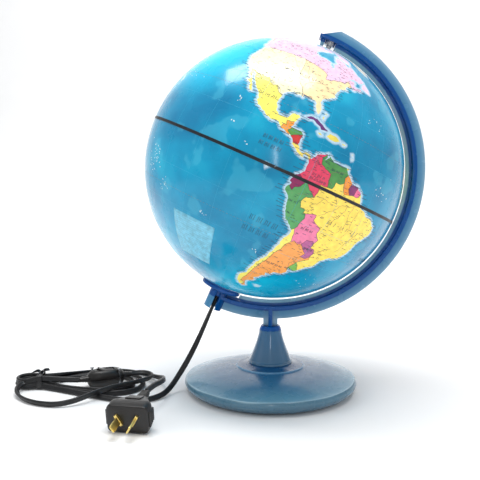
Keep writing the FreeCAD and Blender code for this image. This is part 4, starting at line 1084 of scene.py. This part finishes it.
def wander(a, b, rough, step):
    """Points from a to b, not counting b, pushed sideways a little and the same way in both directions."""
    first, last = (a, b) if a <= b else (b, a)
    pieces = max(1, 2 ** math.ceil(math.log2(max(1.0, math.dist(a, b) / step))))
    points = {0: Vector(first), pieces: Vector(last)}
    draw = random.Random(f"{first}{last}")
    gap = pieces
    while gap > 1:
        for i in range(0, pieces, gap):
            low, high = points[i], points[i + gap]
            across = Vector((low.y - high.y, high.x - low.x))
            across *= draw.uniform(-rough, rough) * min(1.0, 7.0 / across.length)
            points[i + gap // 2] = (low + high) / 2 + across
        gap //= 2
    ordered = [tuple(points[i]) for i in range(pieces + 1)]
    if (a, b) != (first, last):
        ordered.reverse()
    return ordered[:-1]


def natural(outline, rough=0.13, step=0.8):
    """A closed outline with the small bends that a coast or a border has."""
    result = []
    for a, b in zip(outline, outline[1:] + outline[:1]):
        result += wander(a, b, rough, step)
    turned = sum(a[0] * b[1] - b[0] * a[1] for a, b in zip(result, result[1:] + result[:1]))
    return result if turned > 0 else result[::-1]


def inside(point, outline):
    x, y = point
    hit = False
    for (ax, ay), (bx, by) in zip(outline, outline[1:] + outline[:1]):
        if (ay > y) != (by > y) and x < (bx - ax) * (y - ay) / (by - ay) + ax:
            hit = not hit
    return hit


def covered(centres, outline):
    """Which of an array of places lie inside an outline."""
    x, y = centres[:, 0], centres[:, 1]
    hit = numpy.zeros(len(centres), bool)
    for (ax, ay), (bx, by) in zip(outline, outline[1:] + outline[:1]):
        if ay != by:
            hit ^= ((ay > y) != (by > y)) & (x < (bx - ax) * (y - ay) / (by - ay) + ax)
    return hit


def far_cells():
    """The far side's countries: each is the ground nearer to its own middle than to any other."""
    seeds = [(x, y, FAR_INKS[int(k)]) for x, y, k in spots(FAR_COUNTRIES)]
    for x, y, colour in seeds:
        west, east = max(x - 40, -19), min(x + 45, 190.9)
        cell = [(west, -50.0), (east, -50.0), (east, 80.0), (west, 80.0)]
        for ox, oy, _ in seeds:
            if (ox, oy) == (x, y) or not cell:
                continue
            mid, way = ((x + ox) / 2, (y + oy) / 2), (ox - x, oy - y)
            side = [(p[0] - mid[0]) * way[0] + (p[1] - mid[1]) * way[1] for p in cell]
            kept = []
            for i, p in enumerate(cell):
                q, a, b = cell[i - 1], side[i - 1], side[i]
                if (a < 0) != (b < 0):
                    t = a / (a - b)
                    kept.append((round(q[0] + (p[0] - q[0]) * t, 4), round(q[1] + (p[1] - q[1]) * t, 4)))
                if b < 0:
                    kept.append(p)
            cell = kept
        if len(cell) > 2:
            yield cell, colour


def make_map():
    """Cuts the whole map into small faces along every coast and border, in longitude and latitude, ready to
    be wrapped round the sphere.
    """
    lands = [("north", spots(NORTH_AMERICA)), ("south", spots(SOUTH_AMERICA))]
    lands.append(("greenland", spots(GREENLAND)))
    lands += [(key, spots(text)) for key, group in ISLES.items() for text in group]
    lands += [(key, spots(text)) for key, text in OLD_WORLD.items()]
    areas = []
    for key, outline in lands:
        bends = 0.14 if len(outline) > 12 else 0.08
        areas.append((key, natural(outline, bends), LAND_COLOURS.get(key, (248, 226, 140))))
    for key, text, colour in COUNTRIES:
        areas.append((key, natural(spots(text), 0.07), colour))
    for cell, colour in far_cells():
        areas.append(("far", natural(cell, 0.08, 2.5), colour))

    points, polygons, edges = [], [], []
    for _, outline, _ in areas:
        polygons.append(list(range(len(points), len(points) + len(outline))))
        points += outline
    west, east, step = -169.0, 191.0, 2.4
    rows = round((NORTH_EDGE - SOUTH_EDGE) / step)
    lats = [SOUTH_EDGE + (NORTH_EDGE - SOUTH_EDGE) * i / rows for i in range(rows + 1)]
    lats = sorted([lat for lat in lats if abs(lat) > step * 0.4] + [0.0])
    ends = []
    for k, lat in enumerate(lats):
        whole = lat in (SOUTH_EDGE, 0.0, NORTH_EDGE)
        count = max(40, round(360 * math.cos(math.radians(lat)) / step))
        shift = 0.0 if whole else 0.5 * (k % 2)
        row = [(west + 360 * (i + shift) / count, lat) for i in range(count if shift else count + 1)]
        if shift:
            row = [(west, lat)] + row + [(east, lat)]
        first, last = len(points), len(points) + len(row) - 1
        points += row
        if whole:
            edges += [(i, i + 1) for i in range(first, last)]
        if ends:
            edges += [(ends[0], first), (ends[1], last)]
        ends = (first, last)
    shores = []
    for _, outline, _ in areas[: len(lands)]:
        for i, (x, y) in enumerate(outline):
            (ax, ay), (bx, by) = outline[i - 1], outline[(i + 1) % len(outline)]
            shores.append((x, y))
            squeeze = max(0.12, math.cos(math.radians(y)))
            way = Vector(((bx - ax) * squeeze, by - ay))
            if way.length < 1e-6 or abs(y) > 80:
                continue
            way.normalize()
            for off in (-1.6, -0.75, 0.75, 1.6):
                points.append((x + way.y * off / squeeze, y - way.x * off))

    flat, _, triangles, _, _, _ = delaunay_2d_cdt([Vector(p) for p in points], edges, polygons, 0, 1e-4)

    cells = {}
    for x, y in shores:
        cells.setdefault((int(x // 2), int(y // 2)), []).append((x, y))

    def shore_distance(x, y):
        squeeze = max(0.12, math.cos(math.radians(y)))
        best = 9.0
        reach = min(12, int(2 / squeeze / 2) + 1)
        for i in range(int(x // 2) - reach, int(x // 2) + reach + 1):
            for j in range(int(y // 2) - 1, int(y // 2) + 2):
                for sx, sy in cells.get((i, j), ()):
                    best = min(best, math.hypot((sx - x) * squeeze, sy - y))
        return best

    near = [shore_distance(v.x, v.y) for v in flat]
    places = numpy.array([v[:] for v in flat])
    middles = places[numpy.array([face[:] for face in triangles])].mean(axis=1)
    ground = numpy.full(len(middles), -1)
    country = numpy.full(len(middles), -1)
    for k, (_, outline, _) in enumerate(areas):
        (ground if k < len(lands) else country)[covered(middles, outline)] = k
    own = ("cuba", "antilles", "arctic", "greenland", "antarctica")
    inks, land, north, keep = [], [], [], []
    for corners, (x, y), at, within in zip(triangles, middles, ground, country):
        if not (west < x < east and SOUTH_EDGE < y < NORTH_EDGE):
            continue
        colour = (0, 140, 184)
        if at >= 0:
            whole = within >= 0 and areas[at][0] not in own
            colour = areas[within][2] if whole else areas[at][2]
        keep.append(tuple(corners))
        inks.append(tint(*colour))
        land.append(1.0 if at >= 0 else 0.0)
        north.append(bool(y > 0))
    return flat, near, keep, inks, land, north, areas, len(lands)


def bright_sea(lon, lat):
    """How bright the print's blue is: most in the north of the western ocean."""
    west = (lon + 345) % 360 - 180
    a = max(0.0, 1 - math.hypot(west / 62, (lat - 42) / 34))
    b = max(0.0, 1 - math.hypot((lon + 60) / 60, (lat + 62) / 26)) * 0.5
    return min(1.0, 1.6 * a + b)


def make_hemispheres():
    flat, near, triangles, inks, land, north, areas, land_count = make_map()
    for name, node, upper in (
        ("north_printed_shell", "north_hemisphere", True),
        ("south_printed_shell", "south_hemisphere", False),
    ):
        chosen = [i for i, flag in enumerate(north) if flag == upper]
        index, points, faces, seam = {}, [], [], {}
        for i in chosen:
            face = []
            for v in triangles[i]:
                if v not in index:
                    x, y = flat[v]
                    key = (round((x + 169) % 360, 3), round(y, 3))
                    if key not in seam:
                        seam[key] = len(points)
                        points.append((x, y, near[v]))
                    index[v] = seam[key]
                face.append(index[v])
            faces.append(face)
        good = [k for k, face in enumerate(faces) if len(set(face)) == 3]
        faces, chosen = [faces[k] for k in good], [chosen[k] for k in good]
        outer = [on_globe(x, y) for x, y, _ in points]
        if faces:
            a, b, c = (outer[k] for k in faces[0])
            if (b - a).cross(c - a).dot(a - CENTRE) < 0:
                faces = [face[::-1] for face in faces]
        count = len(outer)
        inner = [CENTRE + (p - CENTRE) * ((RADIUS - SHELL) / RADIUS) for p in outer]
        rim = {}
        for face in faces:
            for a, b in zip(face, face[1:] + face[:1]):
                if (b, a) in rim:
                    del rim[(b, a)]
                else:
                    rim[(a, b)] = True
        skins = faces + [[v + count for v in reversed(face)] for face in faces]
        skins += [[b, a, a + count, b + count] for a, b in rim]
        slots = [0] * len(faces) + [1] * (len(skins) - len(faces))
        ways = [(p - CENTRE).normalized() for p in outer]
        shell = piece(
            name, outer + inner, skins, ("map", "inner"), "globe", True, slots, ways + [-w for w in ways]
        )
        ink = shell.data.attributes.new("ink", "FLOAT_COLOR", "CORNER")
        zone = shell.data.attributes.new("zone", "FLOAT_COLOR", "CORNER")
        ink_values, zone_values = [], []
        for face, source in zip(faces, chosen):
            for v in face:
                x, y, away = points[v]
                ink_values += [*inks[source], 1.0]
                zone_values += [land[source], max(0.0, 1 - away / 1.7), bright_sea(x, y), 1.0]
        rest = len(shell.data.loops) - len(ink_values) // 4
        ink.data.foreach_set("color", ink_values + [0.5, 0.5, 0.5, 1.0] * rest)
        zone.data.foreach_set("color", zone_values + [0.0, 0.0, 0.0, 1.0] * rest)
        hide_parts(node)
    return areas, land_count


def strip(line, width, lift=0.07 * MM):
    """A thin raised ribbon of ink along a line of (lon, lat), closed underneath."""
    spots_on = [on_globe(x, y) for x, y in line]
    frames = []
    for i, here in enumerate(spots_on):
        out = (here - CENTRE).normalized()
        ahead = spots_on[min(i + 1, len(spots_on) - 1)] - spots_on[max(i - 1, 0)]
        frames.append((ahead.cross(out).normalized(), out))
    half = width / 2
    section = [(half, -0.1 * MM), (half * 0.8, lift), (-half * 0.8, lift), (-half, -0.1 * MM)]
    return sweep(spots_on, section, frames)


def dash_rows(lon, lat, length, height, count):
    """A row of plain upright dashes, each a thin ribbon."""
    gap = length / count
    for i in range(count):
        x = lon + gap * (i + 0.2)
        yield [(x, lat - height), (x + gap * 0.12, lat + height)]
        if i % 2 == 0:
            yield [(x + gap * 0.5, lat - height * 0.9), (x + gap * 0.5, lat + height * 0.9)]


def overlay(name, parts, finish):
    thing = piece(name, *gather(parts), finish, "globe")
    return thing


def make_map_details(areas, land_count):
    lands = [outline for _, outline, _ in areas[:land_count]]
    seen, borders = set(), []
    for _, outline, _ in areas[land_count:]:
        run = []
        for a, b in zip(outline, outline[1:] + outline[:1]):
            mid = ((a[0] + b[0]) / 2, (a[1] + b[1]) / 2)
            key = (round(mid[0], 2), round(mid[1], 2))
            fresh = key not in seen and any(inside(mid, land) for land in lands)
            seen.add(key)
            if fresh:
                run = run + [b] if run else [a, b]
            elif run:
                borders.append(run)
                run = []
        if len(run) > 1:
            borders.append(run)
    overlay("border_lines", [strip(run, 0.32 * MM) for run in borders if len(run) > 2], "ink")
    overlay("river_lines", [strip(natural_line(spots(r)), 0.26 * MM, 0.06 * MM) for r in RIVERS], "river")

    grid = []
    for lat in range(-75, 90, 15):
        if lat:
            grid.append([(-169 + 2.0 * i, lat) for i in range(181)])
    for lon in range(-165, 195, 15):
        grid.append([(lon, -81.5 + 2.0 * i) for i in range(85)])
    overlay("graticule", [strip(line, 0.16 * MM, 0.035 * MM) for line in grid], "grid")
    tropics = []
    for lat in (-23.5, 23.5):
        tropics += [[(-169 + 1.6 * i, lat), (-168.1 + 1.6 * i, lat)] for i in range(225)]
    overlay("tropic_dashes", [strip(line, 0.2 * MM, 0.05 * MM) for line in tropics], "river")

    marks = []
    for lon, lat, length, height, count in LABELS:
        marks += [strip(line, 0.42 * MM, 0.08 * MM) for line in dash_rows(lon, lat, length, height, count)]
    draw = random.Random(11)
    for outline in lands[:2]:
        for i in range(0, len(outline), 3):
            lon, lat = outline[i]
            ay, by = outline[i - 2][1], outline[(i + 2) % len(outline)][1]
            if not (-125 < lon < -33 and -52 < lat < 46):
                continue
            away = 1 if by > ay else -1
            long = draw.uniform(1.6, 4.2)
            start = lon + away * 0.5
            end = (start + away * long, lat + draw.uniform(-0.3, 0.3))
            marks.append(strip([(start, lat), end], 0.42 * MM, 0.08 * MM))
    towns = 0
    while towns < 620:
        lon, lat = draw.uniform(-126, -36), draw.uniform(-50, 60)
        if not any(inside((lon, lat), land) for land in lands[:2]):
            continue
        towns += 1
        width = draw.uniform(0.5, 1.7)
        marks.append(strip([(lon, lat), (lon + width, lat + 0.02)], 0.36 * MM, 0.06 * MM))
    overlay("label_dashes", marks, "mark")

    specks = []
    for middle, spread_x, spread_y, count in (
        ((-144, -15), 7, 6, 34),
        ((-134, -24), 7, 3, 12),
        ((-109.6, 9.6), 1.6, 0.8, 4),
        ((-100.7, 3.8), 1.2, 0.6, 3),
        ((-112.4, 18.6), 1.0, 1.6, 5),
        ((-109, -28), 2.5, 1.0, 6),
        ((-81, -33.8), 2.0, 1.2, 4),
        ((-150, 26), 14, 8, 14),
        ((-52, 32), 8, 4, 9),
        ((-36, 8), 8, 8, 9),
        ((-40, -40), 12, 6, 10),
        ((165, -12), 12, 10, 40),
        ((178, 8), 14, 12, 30),
        ((72, -8), 10, 8, 18),
    ):
        for _ in range(count):
            x, y = middle[0] + draw.gauss(0, spread_x / 2), middle[1] + draw.gauss(0, spread_y / 2)
            turn, long = draw.uniform(0, math.pi), draw.uniform(0.2, 0.8)
            end = (x + long * math.cos(turn), y + long * math.sin(turn))
            specks.append(strip([(x, y), end], draw.uniform(0.4, 0.9) * MM, 0.06 * MM))
    overlay("island_specks", specks, "speck")


def natural_line(line):
    result = []
    for a, b in zip(line, line[1:]):
        result += wander(a, b, 0.14, 0.9)
    return result + [line[-1]]


def make_legend():
    """Pale panel in the southern ocean, with plain rules in place of its text."""
    west, east, north, south = -126.0, -101.6, -31.8, -53.2
    columns, rows = 16, 14
    points, faces = [], []
    for j in range(rows + 1):
        for i in range(columns + 1):
            lon = west + (east - west) * i / columns
            lat = north + (south - north) * j / rows
            points.append(on_globe(lon, lat, RADIUS + 0.04 * MM))
    top = len(points)
    points += [CENTRE + (p - CENTRE) * ((RADIUS - 0.1 * MM) / RADIUS) for p in points]
    wide = columns + 1
    for j in range(rows):
        for i in range(columns):
            a = j * wide + i
            faces.append((a, a + wide, a + wide + 1, a + 1))
            faces.append((a + top, a + 1 + top, a + wide + 1 + top, a + wide + top))
    rim = [i for i in range(wide)] + [j * wide + columns for j in range(1, rows + 1)]
    rim += [rows * wide + i for i in range(columns - 1, -1, -1)] + [j * wide for j in range(rows - 1, 0, -1)]
    faces += [(a, b, b + top, a + top) for a, b in zip(rim, rim[1:] + rim[:1])]
    panel = piece("legend_panel", points, faces, "panel", "globe")
    draw = random.Random(5)
    rules = []
    for j in range(19):
        lat = north - 1.2 + (south - north + 2.0) * j / 19
        start = west + 1.4
        while start < east - 2.5:
            end = min(start + draw.uniform(1.6, 5.0), east - 1.4)
            rules.append(strip([(start, lat), ((start + end) / 2, lat), (end, lat)], 0.42 * MM, 0.09 * MM))
            start = end + 0.5
    overlay("legend_rules", rules, "panel_ink")


# ---------------------------------------------------------------- stand


def make_base():
    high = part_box("base_dome")[1]
    foot = 74.4 * MM
    rim = high[0]
    crease, crease_height = 83.8 * MM, 13.9 * MM
    step, step_height, seat = 33.8 * MM, 25.9 * MM, high[2]
    wall = 2.4 * MM
    outer = [Vector((foot - 3.4 * MM, 0)), Vector((foot, 0)), Vector((foot + 1.4 * MM, 0.5 * MM))]
    for i in range(1, 9):
        t = i / 8
        swell = (rim - foot - 1.4 * MM) * math.sin(t * 1.45) / math.sin(1.45)
        outer.append(Vector((foot + 1.4 * MM + swell, 0.5 * MM + 8.9 * MM * t**1.25)))
    outer.append(Vector((rim - 0.1 * MM, 10.6 * MM)))
    outer.append(Vector((rim - 0.6 * MM, 12.6 * MM)))
    outer.append(Vector((crease + 0.7 * MM, crease_height - 0.3 * MM)))
    outer.append(Vector((crease, crease_height)))
    outer.append(Vector((crease - 1.0 * MM, crease_height + 0.12 * MM)))
    start = outer[-1].copy()
    end = Vector((step + 0.4 * MM, step_height - 1.5 * MM))
    for i in range(1, 15):
        t = i / 14
        lift = 1.9 * MM * math.sin(math.pi * t) * (1 - 0.15 * t)
        outer.append(Vector((start.x + (end.x - start.x) * t, start.y + (end.y - start.y) * t + lift)))
    outer += [
        Vector((step, step_height - 1.1 * MM)),
        Vector((step - 0.25 * MM, step_height - 0.3 * MM)),
        Vector((step - 1.0 * MM, step_height)),
        Vector((step - 2.2 * MM, step_height - 0.1 * MM)),
        Vector((27.0 * MM, step_height + 0.7 * MM)),
        Vector((24.0 * MM, seat - 0.8 * MM)),
        Vector((22.3 * MM, seat)),
        Vector((2.3 * MM, seat)),
        Vector((2.3 * MM, seat - wall)),
        Vector((20.0 * MM, seat - wall)),
        Vector((step - 2 * MM, step_height - wall - 1 * MM)),
        Vector((58.0 * MM, 18.2 * MM)),
        Vector((crease - 4 * MM, crease_height - wall)),
        Vector((rim - wall, 9.0 * MM)),
        Vector((foot - 3.4 * MM, wall)),
    ]
    base = lathe("base_moulding", outer, "base", "stand", 192)
    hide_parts("base_dome")


def make_cone():
    low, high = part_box("pedestal_cone")
    foot, top = high[0], high[2]
    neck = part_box("stem_collar")[1][0]
    outer = [
        Vector((2.3 * MM, low[2])),
        Vector((foot - 0.5 * MM, low[2])),
        Vector((foot, low[2] + 0.5 * MM)),
        Vector((foot, low[2] + 1.9 * MM)),
        Vector((foot - 0.3 * MM, low[2] + 2.5 * MM)),
        Vector((foot - 1.1 * MM, low[2] + 2.9 * MM)),
    ]
    base = outer[-1].copy()
    for i in range(1, 17):
        t = i / 16
        width = neck + (base.x - neck) * (1 - t) ** 1.35
        outer.append(Vector((width, base.y + (top - 0.4 * MM - base.y) * t)))
    outer += [
        Vector((neck - 0.4 * MM, top)),
        Vector((8.4 * MM, top)),
        Vector((8.4 * MM, low[2] + 4 * MM)),
        Vector((2.3 * MM, low[2] + 4 * MM)),
    ]
    cone = lathe("pedestal_moulding", outer, "cone", "stand", 128)
    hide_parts("pedestal_cone")


def bevel_cad(node, width, degrees=30):
    """Softens the sharp edges of a CAD piece with a weld and a bevel, which leave its own mesh alone."""
    thing = frame["nodes"][node]
    weld = thing.modifiers.new("weld", "WELD")
    weld.merge_threshold = 0.00001
    bevel = thing.modifiers.new("soft_edge", "BEVEL")
    bevel.width, bevel.segments = width, 2
    bevel.limit_method, bevel.angle_limit = "ANGLE", math.radians(degrees)
    bevel.harden_normals = True
    thing.data.polygons.foreach_set("use_smooth", [True] * len(thing.data.polygons))


# ---------------------------------------------------------------- switch and plug


def make_switch():
    """Both halves of the in-line switch as smooth lofts, and the tapered reliefs at its ends."""
    lower = ((0.3, 0.8), (0.9, 0.88), (2.6, 0.95), (5.0, 0.99), (8.5, 1.0))
    upper = ((8.9, 1.0), (11.4, 0.985), (13.6, 0.93), (15.2, 0.84), (16.3, 0.73), (16.9, 0.62))
    made = []
    for name, node, heights in (
        ("switch_lower_case", "switch_base", lower),
        ("switch_upper_case", "switch_cover", upper),
    ):
        rings = []
        for height, scale in heights:
            ring = []
            for i in range(48):
                angle = math.tau * i / 48
                c, s = math.cos(angle), math.sin(angle)
                x = math.copysign(abs(c) ** 0.86, c) * SWITCH_LENGTH / 2 * scale
                y = math.copysign(abs(s) ** 0.9, s) * SWITCH_WIDTH / 2 * scale
                ring.append((x, y, height * MM))
            rings.append(ring)
        points, faces = loft(rings, SWITCH_PLACE)
        case = shade_by_angle(piece(name, points, faces, "black", "stand"), 40)
        if node == "switch_cover":
            cut_window(case)
        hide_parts(node)
        made.append(case)
    parts = []
    for side in (-1, 1):
        rings = []
        for k in range(9):
            t = k / 8
            ridge = 0.35 * MM * (k % 2)
            ring = []
            for i in range(20):
                angle = math.tau * i / 20
                y = (4.4 - 1.3 * t) * MM + ridge
                z = (3.5 - 1.3 * t) * MM + ridge
                x = side * (SWITCH_LENGTH / 2 - 1.5 * MM + (SWITCH_RELIEF + 1.5 * MM) * t)
                ring.append((x, y * math.cos(angle), 8.6 * MM + z * math.sin(angle)))
            rings.append(ring)
        parts.append(loft(rings, SWITCH_PLACE))
    relief = shade_by_angle(piece("switch_reliefs", *gather(parts), "black", "stand"), 50)
    return [*made, relief]


def cut_window(case):
    """Opens the upper case for the rocker."""
    window_place = SWITCH_PLACE @ Matrix.Translation((0, 0, 17 * MM))
    points, faces = block((17.6 * MM, 9.5 * MM, 12 * MM), window_place, 0.4 * MM)
    cutter_mesh = bpy.data.meshes.new("window_cutter")
    cutter_mesh.from_pydata(points, [], faces)
    cutter = bpy.data.objects.new("window_cutter", cutter_mesh)
    bpy.context.scene.collection.objects.link(cutter)
    boolean = case.modifiers.new("window", "BOOLEAN")
    boolean.operation, boolean.object, boolean.solver = "DIFFERENCE", cutter, "EXACT"
    bpy.context.view_layer.update()
    evaluated = case.evaluated_get(bpy.context.evaluated_depsgraph_get())
    mesh = bpy.data.meshes.new_from_object(evaluated)
    case.modifiers.clear()
    case.data = mesh
    bpy.data.objects.remove(cutter)
    shade_by_angle(case, 40)


PLUG_FACE = Vector((-118.0, -127.3, 12.6)) * MM
PLUG_PLACE = Matrix.Translation(PLUG_FACE) @ Matrix.Rotation(math.radians(-8), 4, "Z")
PLUG_PLACE = PLUG_PLACE @ Matrix.Rotation(math.radians(9), 4, "X")


def make_plug():
    """Moulded plug with a soft-edged face, a tapered back with a raised panel, and ribbed grips."""
    rings = []
    for depth, width, height, corner in (
        (0.0, 34.4, 22.8, 4.2),
        (0.35, 35.4, 23.8, 4.7),
        (1.1, 36.0, 24.4, 5.0),
        (11.0, 36.0, 24.4, 5.0),
        (12.6, 35.0, 23.8, 4.8),
        (14.0, 32.6, 22.4, 4.6),
        (27.6, 19.0, 14.4, 3.2),
        (29.4, 17.4, 13.2, 3.0),
        (30.0, 15.6, 12.0, 2.8),
    ):
        outline = rounded_rectangle(width * MM, height * MM, corner * MM, 6)
        rings.append([(p.x, depth * MM, p.y) for p in outline])
    parts = [loft(rings, PLUG_PLACE)]
    for level in (1, -1):
        panel = PLUG_PLACE @ Matrix.Translation((0, 21 * MM, level * 9.2 * MM))
        tilt = Matrix.Rotation(math.radians(-17 * level), 4, "X")
        parts.append(block((13 * MM, 12 * MM, 2.0 * MM), panel @ tilt, 0.6 * MM))
    for side in (-1, 1):
        for k in range(4):
            grip = PLUG_PLACE @ Matrix.Translation((side * 17.9 * MM, (3.2 + 2.7 * k) * MM, 0))
            parts.append(block((3.4 * MM, 1.5 * MM, (13.6 - 1.2 * k) * MM), grip, 0.5 * MM))
        wing = PLUG_PLACE @ Matrix.Translation((side * 17.6 * MM, 8.6 * MM, 0))
        parts.append(block((2.4 * MM, 12.4 * MM, 11 * MM), wing, 0.8 * MM))
    body = shade_by_angle(piece("plug_moulding", *gather(parts), "black", "stand"), 35)
    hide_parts("plug_body")

    pins = []
    for side in (-1, 1):
        root = PLUG_PLACE @ Matrix.Translation((side * 13.7 / 2 * MM, 0, 0))
        root = root @ Matrix.Rotation(math.radians(30 * side), 4, "Y")
        shoulder = root @ Matrix.Translation((0, -1.2 * MM, 0))
        pins.append(block((2.6 * MM, 3.0 * MM, 10.4 * MM), shoulder, 0.35 * MM))
        rings = []
        for depth, wide, thick in ((1.0, 6.35, 1.6), (15.6, 6.35, 1.6), (16.8, 5.4, 1.2), (17.1, 4.6, 0.8)):
            outline = rounded_rectangle(thick * MM, wide * MM, 0.35 * MM, 3)
            rings.append([(p.x, -depth * MM, p.y) for p in outline])
        pins.append(loft(rings, root))
    blades = shade_by_angle(piece("plug_blades", *gather(pins), "brass_pin", "stand"), 40)
    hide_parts("plug_pins")

    rings = []
    ribs = [(29.4, 0.6), (31.4, 0.6)]
    for k in range(6):
        start = 31.6 + 2.9 * k
        ribs += [(start, -0.5), (start + 0.9, -0.5), (start + 1.1, 0.3), (start + 2.7, 0.3)]
    for depth, swell in ribs:
        t = (depth - 29.4) / 20.0
        width, height = 10.6 - 3.8 * t + swell, 9.2 - 4.6 * t + swell
        outline = rounded_rectangle(width * MM, height * MM, min(width, height) * 0.36 * MM, 5)
        rings.append([(p.x, depth * MM, p.y) for p in outline])
    relief = shade_by_angle(piece("plug_relief", *loft(rings, PLUG_PLACE), "black", "stand"), 45)
    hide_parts("plug_strain_relief")
    return body, blades, relief


# ---------------------------------------------------------------- the whole

SOFT_EDGES = {"meridian_arm": 0.4, "stem_collar": 0.4, "lamp_carrier": 0.3, "switch_rocker": 0.3}

make_studio()
cord, cord_line, cord_length = make_cord()
tie = make_tie()
make_map_details(*make_hemispheres())
make_legend()
make_base()
make_cone()
switch_pieces = make_switch()
plug_pieces = make_plug()
for node, finish in CAD_FINISH.items():
    thing = frame["nodes"][node]
    thing.data.materials.clear()
    thing.data.materials.append(MATERIALS[finish])
for node, width in SOFT_EDGES.items():
    bevel_cad(node, width * MM)
[c * MM for c in LEAD_POINTS[0]]
[tuple(p) for p in cord_line]
